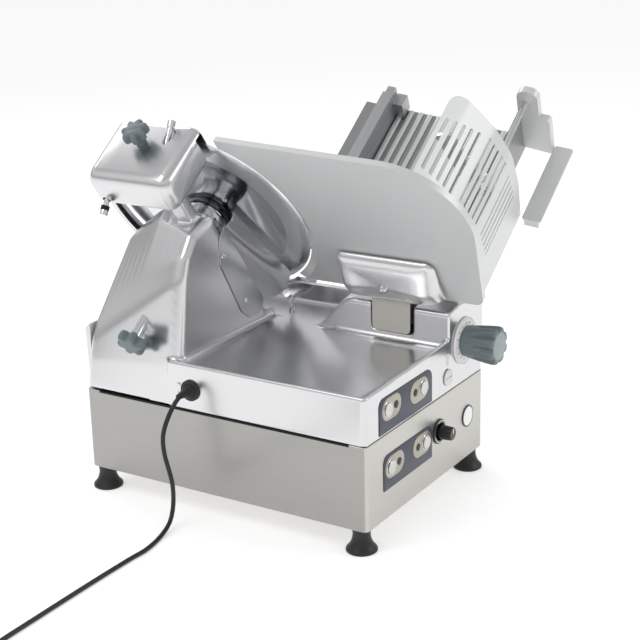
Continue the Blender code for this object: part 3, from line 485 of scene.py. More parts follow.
def make_stage():
    """Camera, pale floor, pale surroundings and three softboxes."""
    scene = bpy.context.scene
    azimuth, elevation, roll = (math.radians(v) for v in CAMERA_TURN)
    back = Vector(
        (
            math.sin(azimuth) * math.cos(elevation), -math.cos(azimuth) * math.cos(elevation),
            math.sin(elevation),
        )
    )
    side = (-back).cross(Vector((0, 0, 1))).normalized()
    up = side.cross(-back)
    right = side * math.cos(roll) + up * math.sin(roll)
    upright = -side * math.sin(roll) + up * math.cos(roll)
    lens = bpy.data.cameras.new("camera")
    lens.lens = CAMERA_LENS
    lens.sensor_width = 36
    lens.clip_end = 60
    camera = bpy.data.objects.new("camera", lens)
    scene.collection.objects.link(camera)
    turn = Matrix((right, upright, back)).transposed().to_4x4()
    camera.matrix_world = Matrix.Translation(CAMERA_SPOT) @ turn
    scene.camera = camera
    scene.view_settings.view_transform = "Standard"

    bpy.ops.object.select_all(action="DESELECT")
    bpy.ops.mesh.primitive_plane_add(size=40, location=(0, 0, 0))
    floor = bpy.context.object
    floor.name = "floor"
    paper = surface("studio_paper", "#f0f0f0", 0.0, 0.9)
    shader = paper.node_tree.nodes["Principled BSDF"]
    shader.inputs["Emission Color"].default_value = (1, 1, 1, 1)
    shader.inputs["Emission Strength"].default_value = 0.42
    shader.inputs["Specular IOR Level"].default_value = 0.0
    floor.data.materials.append(paper)

    world = bpy.data.worlds.new("studio")
    world.use_nodes = True
    tree = world.node_tree
    where = add_node(tree, "ShaderNodeTexCoord")
    parts = add_node(tree, "ShaderNodeSeparateXYZ", {}, {"Vector": where.outputs["Generated"]})
    ramp = add_node(tree, "ShaderNodeValToRGB", {}, {"Fac": parts.outputs["Z"]})
    shades = (
        (0.0, 0.46), (0.10, 0.50), (0.20, 0.80), (0.36, 1.0), (0.50, 0.95), (0.72, 0.60), (1.0, 0.80),
    )
    elements = ramp.color_ramp.elements
    elements[0].position, elements[1].position = shades[0][0], shades[-1][0]
    for place, _ in shades[1:-1]:
        elements.new(place)
    for element, (_, shade) in zip(elements, shades):
        element.color = (shade, shade, shade * 1.01, 1)
    tree.links.new(ramp.outputs["Color"], tree.nodes["Background"].inputs["Color"])
    tree.nodes["Background"].inputs["Strength"].default_value = 0.78
    scene.world = world
    middle = (0, 0, 0.3)
    softbox("key", (-1.5, 0.5, 2.3), middle, (1.3, 1.3), 13)
    softbox("front_fill", (0.9, -2.4, 1.5), middle, (1.4, 1.0), 10)
    softbox("back_rim", (0.9, 2.0, 2.2), middle, (1.8, 1.0), 16)


# ---------------------------------------------------------------- base
def make_base():
    """The sheet base with its seam and four feet."""
    rings = []
    for inset, height in (
        (0.0022, FOOT_TOP + 0.0030), (0.0018, FOOT_TOP), (0.0004, FOOT_TOP), (0.0, FOOT_TOP + 0.0006),
        (0.0, BASE_TOP - 0.0008), (0.0006, BASE_TOP - 0.0002),
    ):
        corners = [
            (inset, inset), (WIDTH - inset, inset), (WIDTH - inset, DEPTH - inset),
            (inset, DEPTH - inset),
        ]
        rings.append([(x, y, height) for x, y in rounded(corners, 0.0085, 8)])
    shell = skin("base_shell", rings, LAYOUT)
    keep(shell, "base", "stainless_brushed", ["base_box"])
    shell.data.materials.append(bpy.data.materials["stainless_side"])
    # Faces turned to -X take the darker copy: painted shade on the base's left side
    for face in shell.data.polygons:
        if face.normal.x < -0.86:
            face.material_index = 1
    # A near-black strip along the seam: painted shade in the seam along the top of the base's left side
    gap = block("base_seam", (-0.0003, 0.030, BASE_TOP - 0.0035), (0.004, 0.512, BASE_TOP - 0.0002))
    keep(gap, "base", "gap_painted_shade")
    foot_profile = [
        (0.0235, 0.0), (0.0250, 0.0012), (0.0250, 0.0040), (0.0243, 0.0055), (0.0205, 0.0095),
        (0.0172, 0.0150), (0.0150, 0.0215), (0.0140, 0.0290), (0.0148, 0.0345),
        (0.0156, FOOT_TOP - 0.0004),
    ]
    spots = {"left": FOOT_INSET_X, "right": WIDTH - FOOT_INSET_X}
    rows = {"front": FOOT_INSET_Y, "rear": DEPTH - FOOT_INSET_Y}
    for side, x in spots.items():
        for row, y in rows.items():
            foot = turned("foot_cup_%s_%s" % (row, side), foot_profile, centre=(x, y))
            keep(foot, "base", "rubber_black", ["foot_%s_%s" % (row, side)])


# ---------------------------------------------------------------- cast body
def blade_to_layout(x, z):
    """(x, z) of the layout for a point of the blade frame."""
    point = BLADE_FRAME @ Vector((x, 0, z))
    return (point.x - CORNER_X, point.z)


def tower_corners(share):
    """The tower's corners in X and Z at a share of the way from its front to its back."""
    front = [
        (0.0, BASE_TOP + 0.0005), (0.0030, DECK - 0.0040), (0.0223, DECK + 0.1356),
        (0.0342, DECK + 0.1726), blade_to_layout(-0.1220, 0.0933), blade_to_layout(-0.0770, 0.0772),
        blade_to_layout(TOWER_FACE, 0.0690), blade_to_layout(TOWER_FACE, -(BLADE_RADIUS + 0.022)),
    ]
    rear = [
        (0.0010, BASE_TOP + 0.0005), (0.0090, DECK - 0.0240), (0.0200, DECK + 0.0186),
        (0.0580, DECK + 0.0636), blade_to_layout(-0.0925, 0.0080), blade_to_layout(-0.0700, 0.0035),
        blade_to_layout(TOWER_FACE, -0.0010), blade_to_layout(TOWER_FACE, -(BLADE_RADIUS + 0.022)),
    ]
    middle = [((a[0] + b[0]) / 2, (a[1] + b[1]) / 2) for a, b in zip(front, rear)]
    middle[4] = (0.0950, DECK + 0.2020)
    middle[5] = (0.1130, DECK + 0.2215)
    middle[6] = (0.1215, DECK + 0.2225)
    near, far, part = (front, middle, share * 2) if share < 0.5 else (middle, rear, share * 2 - 1)
    return [(a[0] + (b[0] - a[0]) * part, a[1] + (b[1] - a[1]) * part) for a, b in zip(near, far)]


def tower_section(share, inset):
    """The tower's outline at a share of its depth, drawn in by an inset."""
    corners = tower_corners(share)
    outline = rounded(corners, [0, 0.10, 0.09, 0.03, 0.015, 0.006, 0.004, 0], 6)
    middle = Vector((sum(p[0] for p in corners) / 8, BASE_TOP))
    found = []
    count = len(outline)
    for k, point in enumerate(outline):
        here = Vector(point)
        way = Vector(outline[(k + 1) % count]) - Vector(outline[k - 1])
        square = Vector((way.y, -way.x)).normalized()
        if square.dot(middle - here) < 0:
            square = -square
        moved = here + square * inset
        if k in (0, count - 1):
            moved = Vector((here.x + (inset if k == 0 else -inset), here.y))
        found.append((moved.x, moved.y))
    return found


def tower_solid():
    """The tower from its rounded front edge to its back."""
    radius = 0.018
    reach = DEPTH - TOWER_FRONT
    levels = []
    for k in range(7):
        angle = math.pi / 2 * (1 - k / 6)
        levels.append((radius * (1 - math.sin(angle)), radius * (1 - math.cos(angle)) * 0.9))
    for k in range(1, 12):
        levels.append((radius + (reach - radius - 0.010) * k / 11, 0.0))
    for k in range(1, 5):
        angle = math.pi / 2 * k / 4
        levels.append((reach - 0.010 + 0.0095 * math.sin(angle), 0.0095 * (1 - math.cos(angle))))
    rings = []
    for y, inset in levels:
        share = min(1, max(0, y / reach))
        rings.append([(x, TOWER_FRONT + y, z) for x, z in tower_section(share, inset)])
    return skin("tower", rings, LAYOUT)


def rim_rise(x, y):
    """How much higher the front rim stands towards the block."""
    most = bpy.context.scene.slicer_sizes.rim_rise
    return most * min(1, max(0, x / 0.27)) * min(1, max(0, (0.12 - y) / 0.10))


def deck_solid():
    """The deck with its raised rim, down to the base."""
    levels = [
        (0.0, BASE_TOP + 0.0004, 0), (0.0, DECK - 0.006, 0), (0.0, RIM, 1), (0.0012, RIM + 0.0016, 1),
        (0.0060, RIM + 0.0016, 1), (0.0085, RIM, 1), (0.0115, DECK + 0.0006, 0.35), (0.0150, DECK, 0),
        (0.030, DECK, 0),
    ]
    step = TOWER_FRONT + 0.020
    corners = [(0, 0), (WIDTH, 0), (WIDTH, DEPTH), (0.03, DEPTH), (0.03, step), (0, step)]
    plan = []
    outline = rounded(corners, [0.0085, 0.0085, 0.0085, 0, 0, 0], 6)
    for k, point in enumerate(outline):
        here, after = Vector(point), Vector(outline[(k + 1) % len(outline)])
        plan.append(tuple(here))
        pieces = int((after - here).length / 0.03)
        plan += [tuple(here.lerp(after, j / pieces)) for j in range(1, pieces)]
    rings = []
    for inset, height, lift in levels:
        ring = []
        for x, y in plan:
            nx = min(max(x, inset), WIDTH - inset)
            ny = min(max(y, inset), DEPTH - inset)
            ring.append((nx, ny, height + rim_rise(x, y) * lift))
        rings.append(ring)
    return skin("deck", rings, LAYOUT)


def raised_block():
    """The block on the right that falls away to the back, with the arm's slot."""
    foot = DECK - 0.006
    outline = rounded(
        [
            (BLOCK_LEFT, foot), (BLOCK_LEFT, BLOCK_TOP), (BLOCK_LEFT + 0.0435, BLOCK_TOP + 0.008),
            (WIDTH, BLOCK_TOP - 0.006), (WIDTH, foot),
        ],
        [0, 0.005, 0.03, 0.018, 0], 7,
    )
    stations = [(0.185 * k / 6, 1.0) for k in range(7)]
    for k in range(1, 11):
        share = k / 10
        stations.append((0.185 + 0.082 * share, 1 - (3 * share**2 - 2 * share**3)))
    rings = []
    for y, height in stations:
        rings.append([(x, y, foot + (z - foot) * max(height, 0.02)) for x, z in outline])
    raised = skin("raised", rings, LAYOUT)
    slot_y = HUB.y - CORNER_Y - 0.315
    low = (BLOCK_LEFT - 0.02, slot_y - 0.0385, DECK + 0.0136)
    return carve(raised, block("slot", low, (BLOCK_LEFT + 0.045, slot_y + 0.0385, 0.5)))


def cove(start, end, up, out, radius):
    """A hollow fillet along an inside corner, from start to end."""
    start, end, up, out = Vector(start), Vector(end), Vector(up), Vector(out)
    rings = []
    for spot in (start, end):
        ring = [spot - up * 0.004 - out * 0.004, spot + out * radius - up * 0.004]
        for k in range(9):
            angle = math.pi / 2 * k / 8
            a = radius * (1 - math.sin(angle))
            b = radius * (1 - math.cos(angle))
            ring.append(spot + out * a + up * b)
        ring.append(spot + up * radius - out * 0.004)
        rings.append(ring)
    return skin("cove", rings, LAYOUT)


def make_casting():
    """One casting: its solids run together, then every inside corner is softened."""
    nose_end = -0.016
    nose = turned(
        "nose",
        [
            (0.052, TOWER_FACE - 0.034), (0.046, TOWER_FACE - 0.018), (0.0405, TOWER_FACE - 0.003),
            (0.0370, TOWER_FACE + 0.010), (0.0354, TOWER_FACE + 0.022), (0.0352, nose_end),
        ],
        "X", 64, BLADE_FRAME,
    )
    post_rings = []
    for g, z in ((0.006, 0.01), (0.002, 0.060), (0.0, 0.090), (0.0, BLADE_RADIUS - 0.0503)):
        corners = [
            (-0.096 - g, -0.054 - g), (-0.072 + g, -0.054 - g), (-0.072 + g, -0.024 + g),
            (-0.096 - g, -0.024 + g),
        ]
        post_rings.append([(x, y, z) for x, y in rounded(corners, 0.005)])
    post = skin("post", post_rings, BLADE_FRAME)
    wall = block(
        "wall", (WIDTH - 0.0125, 0.24, DECK - 0.01), (WIDTH - 0.0004, DEPTH - 0.0006, DECK + 0.034),
    )
    foot_y = TOWER_FRONT + 0.0015
    coves = [
        cove(
            (0.020, foot_y, DECK - 0.0003), (0.284, foot_y, DECK - 0.0003), (0, 0, 1), (0, -1, 0), 0.016,
        ),
        cove(
            (BLOCK_LEFT + 0.001, 0.010, DECK), (BLOCK_LEFT + 0.001, 0.215, DECK), (0, 0, 1), (-1, 0, 0),
            0.012,
        ),
    ]
    solids = [deck_solid(), raised_block(), tower_solid(), nose, post, wall] + coves
    alone(solids[0])
    for solid in solids:
        solid.select_set(True)
    bpy.ops.object.join()
    casting = solids[0]
    casting.name = casting.data.name = "cast_body"
    fuse = casting.modifiers.new("fuse", "REMESH")
    fuse.mode = "VOXEL"
    fuse.voxel_size = bpy.context.scene.slicer_sizes.cast_cell
    bpy.ops.object.modifier_apply(modifier=fuse.name)
    ease = casting.modifiers.new("ease", "SMOOTH")
    ease.factor = 0.5
    ease.iterations = bpy.context.scene.slicer_sizes.cast_ease
    bpy.ops.object.modifier_apply(modifier=ease.name)
    thin = casting.modifiers.new("thin", "DECIMATE")
    thin.ratio = 0.45
    bpy.ops.object.modifier_apply(modifier=thin.name)
    keep(casting, "base", "cast_aluminium_polished", ["body_casting"], 60)
    outer = 0.0362
    spans = ((nose_end - 0.0030, nose_end + 0.0004), (nose_end - 0.0150, nose_end - 0.0118))
    for k, (low, high) in enumerate(spans):
        profile = [
            (0.030, low), (outer - 0.0008, low), (outer, low + 0.0008), (outer, high - 0.0008),
            (outer - 0.0008, high), (0.0225, high),
        ]
        keep(
            turned("nose_ring_%d" % k, profile, "X", 64, BLADE_FRAME), "base", "chrome_plated",
        )


def make_body_fittings():
    """Rear cover, cord bush, caps and the plain badge."""
    cover = from_frame("rear_cover", "rear_cover_shell", 0.002, 3)
    keep(cover, "base", "cast_aluminium_polished", ["rear_cover"])
    gland = turned(
        "cord_bush",
        [
            (0.0175, -0.0003), (0.0175, -0.0030), (0.0168, -0.0040), (0.0125, -0.0045), (0.0115, -0.0075),
            (0.0100, -0.0100), (0.0090, -0.0119), (0.0045, -0.0119),
        ],
        "X", 40, LAYOUT, CORD_EXIT,
    )
    keep(gland, "base", "rubber_black", ["cord_gland"])
    for k, (sy, sz) in enumerate(((0.345, BASE_TOP + 0.042), (0.345, BASE_TOP + 0.027))):
        head = turned(
            "bush_screw_%d" % k, [(0.0032, 0.0004), (0.0032, -0.0012), (0.0020, -0.0022), (0.0, -0.0024)],
            "X", 16, LAYOUT, (sy, sz),
        )
        keep(head, "base", "chrome_plated")
    for node, name in (("screw_cap", "slotted_cap"), ("badge", "badge_disc")):
        part = from_frame(node, name, 0.0005, 2)
        keep(part, "base", "aluminium_anodised" if node == "screw_cap" else "abs_white", [node])
    bx, bz = BADGE_AT
    for radius, low, look, name in (
        (0.019, -0.00135, "film_slate", "badge_ring"), (0.0165, -0.0015, "abs_white", "badge_face"),
    ):
        disc = turned(name, [(radius, -0.0002), (radius, low), (0, low)], "Y", 40, LAYOUT, (bx, bz))
        keep(disc, "base", look)


def make_front_controls():
    """Panels, push buttons, selector, dial and thickness knob."""
    centres = {
        "upper": ((0.0645, BASE_TOP + 0.041), (0.1785, BASE_TOP + 0.0385)),
        "lower": ((0.073, FOOT_TOP + 0.083), (0.187, FOOT_TOP + 0.083)),
    }
    films = {
        "upper": (0.040, 0.2095, BASE_TOP + 0.0046, BASE_TOP + 0.0626),
        "lower": (0.052, 0.2095, FOOT_TOP + 0.048, FOOT_TOP + 0.106),
    }
    for level, (x0, x1, z0, z1) in films.items():
        film = plate(
            "film_" + level,
            rounded([(x0, z0), (x1, z0), (x1, z1), (x0, z1)], [0.001, 0.001, 0.016, 0.014], 8), -0.0011,
            -0.0003, "Y", LAYOUT, 0.0003,
        )
        keep(film, "base", "film_slate", ["panel_" + level])
        for spot, (x, z), lead in zip(("start", "stop"), centres[level], (1, -1)):
            middle = x + lead * 0.0127
            half, tall = 0.0295, 0.0185
            plan = [
                (middle - half, z - tall), (middle + half, z - tall), (middle + half, z + tall),
                (middle - half, z + tall),
            ]
            surround = plate(
                "surround_%s_%s" % (spot, level), rounded(plan, 0.0183, 8), -0.0019, -0.0009, "Y", LAYOUT,
                0.0006,
            )
            keep(surround, "base", "lacquer_silver")
            lamp_x = x + lead * 0.0262
            collar = turned(
                "lamp_collar_%s_%s" % (spot, level),
                [(0.0062, -0.0016), (0.0062, -0.0026), (0.0050, -0.0029), (0.0046, -0.0022)], "Y", 24,
                LAYOUT, (lamp_x, z),
            )
            keep(collar, "base", "abs_black")
            lamp = turned(
                "lamp_%s_%s" % (spot, level),
                [(0.0046, -0.0018), (0.0044, -0.0030), (0.0030, -0.0040), (0.0, -0.0044)], "Y", 24,
                LAYOUT, (lamp_x, z),
            )
            keep(lamp, "base", "film_slate")
            ring = turned(
                "button_ring_%s_%s" % (spot, level),
                [
                    (0.0138, -0.0016), (0.0138, -0.0026), (0.0132, -0.0031), (0.0123, -0.0031),
                    (0.0121, -0.0018),
                ],
                "Y", 40, LAYOUT, (x, z),
            )
            keep(ring, "base", "chrome_plated")
            cap = turned(
                "button_cap_%s_%s" % (spot, level),
                [
                    (0.0040, 0.0060), (0.0040, -0.0022), (0.0112, -0.0022), (0.0116, -0.0044),
                    (0.0108, -0.0052), (0.0082, -0.0054), (0.0078, -0.0050), (0.0, -0.0050),
                ],
                "Y", 40, LAYOUT, (x, z),
            )
            keep(
                cap, "%s_%s" % (spot, level), "steel_satin",
                ["push_button_%s_%s" % (spot, level)],
            )
    x, z = SELECTOR_AT
    bezel = turned(
        "selector_plate",
        [
            (0.0210, -0.0003), (0.0210, -0.0022), (0.0200, -0.0030), (0.0150, -0.0030), (0.0142, -0.0024),
            (0.0045, -0.0024),
        ],
        "Y", 48, LAYOUT, (x, z),
    )
    keep(bezel, "base", "abs_black", ["selector_bezel"])
    ring = turned(
        "selector_ring", [(0.0192, -0.0028), (0.0192, -0.0034), (0.0176, -0.0034), (0.0176, -0.0028)],
        "Y", 48, LAYOUT, (x, z),
    )
    keep(ring, "base", "steel_satin")
    rings = []
    for along, radius, depth in (
        (-0.0036, 0.0118, 0.0), (-0.0060, 0.0122, 0.0006), (-0.0230, 0.0112, 0.0009),
        (-0.0255, 0.0104, 0.0005), (-0.0262, 0.0094, 0.0),
    ):
        ring = []
        for k in range(72):
            angle = 2 * math.pi * k / 72
            reach = radius - depth * (1 if k % 6 in (0, 1, 2) else 0)
            ring.append((x + reach * math.cos(angle), along, z + reach * math.sin(angle)))
        rings.append(ring)
    knob = skin("selector_grip", rings, LAYOUT)
    keep(knob, "selector", "abs_black", ["selector_knob"], 30)
    mark = block("selector_mark", (x - 0.0009, -0.0268, z + 0.001), (x + 0.0009, -0.0255, z + 0.0092))
    keep(mark, "selector", "abs_white")

    x, z = DIAL_AT
    dial = turned(
        "dial_plate",
        [(0.0395, -0.0003), (0.0400, -0.0010), (0.0400, -0.0030), (0.0393, -0.0035), (0.006, -0.0035)],
        "Y", 96, LAYOUT, (x, z),
    )
    keep(dial, "thickness_control", "abs_white", ["thickness_dial"])
    marks = []
    for k in range(60):
        angle = 2 * math.pi * k / 60
        long = k % 4 == 0
        inner = 0.0352 if long else 0.0368
        tick = block(
            "tick", (inner, -0.00365, -0.00018), (0.0390, -0.0034, 0.00018),
            LAYOUT @ Matrix.Translation((x, 0, z)) @ Matrix.Rotation(angle, 4, "Y"),
        )
        marks.append(tick)
    for k in range(15):
        angle = -2 * math.pi * k / 15
        bpy.ops.object.select_all(action="DESELECT")
        bpy.ops.object.text_add()
        text = bpy.context.object
        text.data.body = str(k)
        text.data.size = 0.0050
        text.data.align_x = "CENTER"
        text.data.extrude = 0.00012
        text.data.offset = 0.00004
        bpy.ops.object.convert(target="MESH")
        text = bpy.context.object
        stand = Matrix.Rotation(math.pi / 2, 4, "X") @ Matrix.Translation((0, 0.0336 - 0.0048, 0.0))
        text.data.transform(
            LAYOUT @ Matrix.Translation((x, -0.0036, z)) @ Matrix.Rotation(angle, 4, "Y") @ stand
        )
        marks.append(text)
    alone(marks[0])
    for mark in marks:
        mark.select_set(True)
    bpy.ops.object.join()
    marks[0].name = marks[0].data.name = "dial_marks"
    keep(marks[0], "thickness_control", "ink_black")
    rings = []
    profile = (
        (-0.0038, 0.0240, 0.0), (-0.0050, 0.0256, 0.0), (-0.0120, 0.0268, 0.0), (-0.0200, 0.0279, 0.0003),
        (-0.0260, 0.0288, 0.0022), (-0.0320, 0.0297, 0.0050), (-0.0450, 0.0312, 0.0066),
        (-0.0560, 0.0322, 0.0072), (-0.0605, 0.0320, 0.0070), (-0.0632, 0.0308, 0.0064),
        (-0.0645, 0.0290, 0.0056),
    )
    for along, radius, depth in profile:
        ring = []
        for k in range(144):
            angle = 2 * math.pi * k / 144
            wave = abs(math.cos(4 * angle))
            reach = radius - depth * wave**5
            ring.append((x + reach * math.cos(angle), along, z + reach * math.sin(angle)))
        rings.append(ring)
    grip = skin("thickness_grip", rings, LAYOUT)
    keep(grip, "thickness_control", "nylon_grey", ["thickness_knob"], 40)
    face = turned(
        "thickness_face", [(0.0232, -0.0640), (0.0232, -0.0648), (0.0224, -0.0650), (0.0, -0.0650)], "Y",
        64, LAYOUT, (x, z),
    )
    keep(face, "thickness_control", "nylon_grey_light")
    plain = block(
        "gauge_lock_label", (WIDTH - 0.1335, -0.0004, BASE_TOP + 0.047),
        (WIDTH - 0.1255, 0.001, BASE_TOP + 0.066), LAYOUT,
    )
    keep(plain, "base", "paper_label")


# ---------------------------------------------------------------- blade and its surroundings
def ring_part(name, profile, start, end, steps, body, look, replaces=(), smooth=35):
    """A cross-section of (radius, x) swept round the blade between two angles."""
    rings = []
    for k in range(steps + 1):
        angle = math.radians(start + (end - start) * k / steps)
        rings.append([(x, r * math.cos(angle), r * math.sin(angle)) for r, x in profile])
    piece = skin(name, rings, BLADE_FRAME)
    return keep(piece, body, look, replaces, smooth)


def make_blade():
    """Blade, hub, ring guard, lug, deflector and tie rod."""
    edge = BLADE_RADIUS
    blade = turned(
        "blade_disc",
        [
            (0.020, -0.0003), (edge - 0.0400, -0.0003), (edge - 0.0006, 0.0), (edge, -0.0002),
            (edge - 0.0030, -0.0014), (edge - 0.0160, -0.0022), (edge - 0.0310, -0.0035),
            (edge - 0.0405, -0.0044), (edge - 0.0415, -0.0036), (edge - 0.0425, -0.0036),
            (edge - 0.0450, -0.0040), (0.060, -0.0042), (0.034, -0.0045), (0.020, -0.0045),
        ],
        "X", 160, BLADE_FRAME,
    )
    keep(blade, "blade", "blade_steel_polished", ["blade"], 20)
    blade.data.materials.append(bpy.data.materials["blade_steel_ground_painted_highlight"])
    # The ground band takes the lighter copy: its softer finish is real, its lighter colour a painted
    # highlight
    for face in blade.data.polygons:
        if (face.center - HUB).length > edge - 0.0405:
            face.material_index = 1
    hub = turned(
        "blade_hub",
        [
            (0.0462, -0.0046), (0.0455, -0.0054), (0.0400, -0.0062), (0.0362, -0.0078), (0.0345, -0.0098),
            (0.0342, -0.0112), (0.0332, -0.0115), (0.0332, -0.0122), (0.0340, -0.0125), (0.0340, -0.0154),
            (0.0150, -0.0154),
        ],
        "X", 80, BLADE_FRAME,
    )
    keep(hub, "blade", "steel_blackened", (), 30)
    for k in range(3):
        angle = 2 * math.pi * (k + 0.2) / 3
        spot = BLADE_FRAME @ Matrix.Translation((0, 0.058 * math.cos(angle), 0.058 * math.sin(angle)))
        screw = turned(
            "blade_screw_%d" % k,
            [(0.0035, -0.0042), (0.0035, -0.0058), (0.0026, -0.0066), (0.0, -0.0067)], "X", 20, spot,
        )
        keep(screw, "blade", "chrome_plated")
    inner, outer = edge + 0.003, edge + 0.017
    guard = [
        (inner, -0.0032), (inner, -0.0180), (inner + 0.002, -0.0198), (outer - 0.003, -0.0198),
        (outer - 0.0008, -0.0184), (outer, -0.0160), (outer, -0.0050), (outer - 0.0015, -0.0032),
    ]
    ring_part(
        "ring_guard_band", guard, -119, 57, 88, "base", "cast_aluminium_polished",
        ["ring_guard"],
    )
    seal = [
        (inner - 0.0008, -0.0120), (inner - 0.0008, -0.0202), (inner + 0.0012, -0.0202),
        (inner + 0.0012, -0.0120),
    ]
    ring_part("ring_guard_seal", seal, -118, 56, 88, "base", "rubber_black")
    front_y = TOWER_FRONT - (HUB.y - CORNER_Y)
    hook = [
        (-0.0769, -0.2010), (-0.1060, -0.1960), (-0.1120, -0.1860), (-0.1350, -0.1720),
        (-0.1545, -0.1535), (-0.1580, -0.1475),
    ]
    for k in range(9):
        angle = math.radians(-129 + 17 * k / 8)
        hook.append(((edge + 0.0032) * math.cos(angle), (edge + 0.0032) * math.sin(angle)))
    lug = plate("ring_lug", hook, -0.0185, -0.0060, "X", BLADE_FRAME, 0.0018, 3)
    keep(lug, "base", "cast_aluminium_polished")
    pin_x, pin_y = WIDTH - 0.0745, TOWER_FRONT - 0.012
    boss = turned(
        "ring_boss",
        [
            (0.0062, DECK + 0.0236), (0.0078, DECK + 0.0242), (0.0080, DECK + 0.0330),
            (0.0072, DECK + 0.0400), (0.0, DECK + 0.0402),
        ],
        "Z", 32, LAYOUT, (pin_x, pin_y),
    )
    keep(boss, "base", "cast_aluminium_polished")
    pin = turned(
        "turned_pin",
        [
            (0.0062, DECK + 0.0003), (0.0062, DECK + 0.0045), (0.0055, DECK + 0.0052),
            (0.0036, DECK + 0.0070), (0.0034, DECK + 0.0130), (0.0046, DECK + 0.0140),
            (0.0046, DECK + 0.0170), (0.0036, DECK + 0.0178), (0.0036, DECK + 0.0232),
        ],
        "Z", 32, LAYOUT, (pin_x, pin_y),
    )
    keep(pin, "base", "chrome_plated", ["ring_pin"])
    flange = [
        (-0.058, 0.037), (-0.0814, 0.0323), (-0.107, -0.005), (-0.1185, -0.115), (-0.1095, -0.1428),
        (-0.0866, -0.1585), (-0.061, -0.149),
    ]
    wall_y = front_y - 0.0018
    outline = rounded(flange, [0, 0.008, 0.02, 0.012, 0.012, 0.010, 0], 6)
    rings = [[(x, y, z) for x, z in outline] for y in (wall_y, wall_y + 0.0014)]
    sheet = skin("deflector_flange", rings, BLADE_FRAME)
    soften(sheet, 0.0004, 2)
    keep(sheet, "base", "stainless_sheet", ["slice_deflector"], 35, True)
    fold = (Vector((-0.0600, front_y - 0.0010, 0.036)), Vector((-0.0625, front_y - 0.0010, -0.150)))
    free = (Vector((-0.0125, front_y + 0.0125, 0.022)), Vector((-0.0125, front_y - 0.0400, -0.130)))
    rings = []
    for k in range(17):
        share = k / 16
        top, bottom = fold[0].lerp(free[0], share), fold[1].lerp(free[1], share)
        swell = Vector((-0.35, -0.9, 0)).normalized() * 0.007 * math.sin(math.pi * share)
        front_side = []
        for j in range(13):
            dip = Vector((0, 0, -0.012)) * math.sin(math.pi * share) * (j / 12) ** 3
            front_side.append(top.lerp(bottom, j / 12) + swell + dip)
        thick = Vector((0.8, 0.6, 0)) * 0.0012
        rings.append([tuple(v) for v in front_side] + [tuple(v + thick) for v in reversed(front_side)])
    leaf = skin("deflector_leaf", rings, BLADE_FRAME)
    keep(leaf, "base", "stainless_sheet", (), 40)
    for k, (x, z) in enumerate(((-0.0925, 0.0015), (-0.0985, -0.1080))):
        spot = BLADE_FRAME @ Matrix.Translation((x, front_y - 0.0018, z))
        screw = turned(
            "deflector_screw_%d" % k,
            [(0.0052, 0.0006), (0.0052, -0.0010), (0.0038, -0.0024), (0.0, -0.0028)], "Y", 24, spot,
        )
        keep(screw, "base", "chrome_plated")
    rod = turned(
        "tie_bar", [(0.0085, -0.2755), (0.0090, -0.2750), (0.0090, 0.0020), (0.0085, 0.0022)], "X", 40,
        BLADE_FRAME,
    )
    keep(rod, "tie_rod", "chrome_plated", ["tie_rod"])
    cover = from_frame("blade_cover", "blade_cover_disc", 0.0006, 2)
    keep(cover, "base", "cast_aluminium_polished", ["blade_cover"], 25)
    lobed_knob(
        "tie_knob", bpy.context.scene.slicer_sizes.cover_knob, 0.0085, 6, (-0.2758, -0.294), "X",
        BLADE_FRAME, "tie_rod", ["tie_rod_knob"],
    )


def lobed_knob(name, radius, depth, lobes, span, axis, matrix, body, replaces):
    """A knob with round lobes, domed on its outer face."""
    low, high = span
    rings = []
    for share, shrink in (
        (0.0, 0.90), (0.08, 0.97), (0.30, 1.0), (0.68, 1.0), (0.88, 0.95), (0.97, 0.86), (1.0, 0.72),
    ):
        along = low + (high - low) * share
        ring = []
        for k in range(96):
            angle = 2 * math.pi * k / 96
            wave = 0.5 - 0.5 * math.cos(lobes * angle)
            reach = (radius - depth * wave**1.4) * shrink
            a, b = reach * math.cos(angle), reach * math.sin(angle)
            ring.append(seated(axis, along, a, b))
        rings.append(ring)
    knob = skin(name, rings, matrix)
    keep(knob, body, "nylon_grey", replaces, 40)


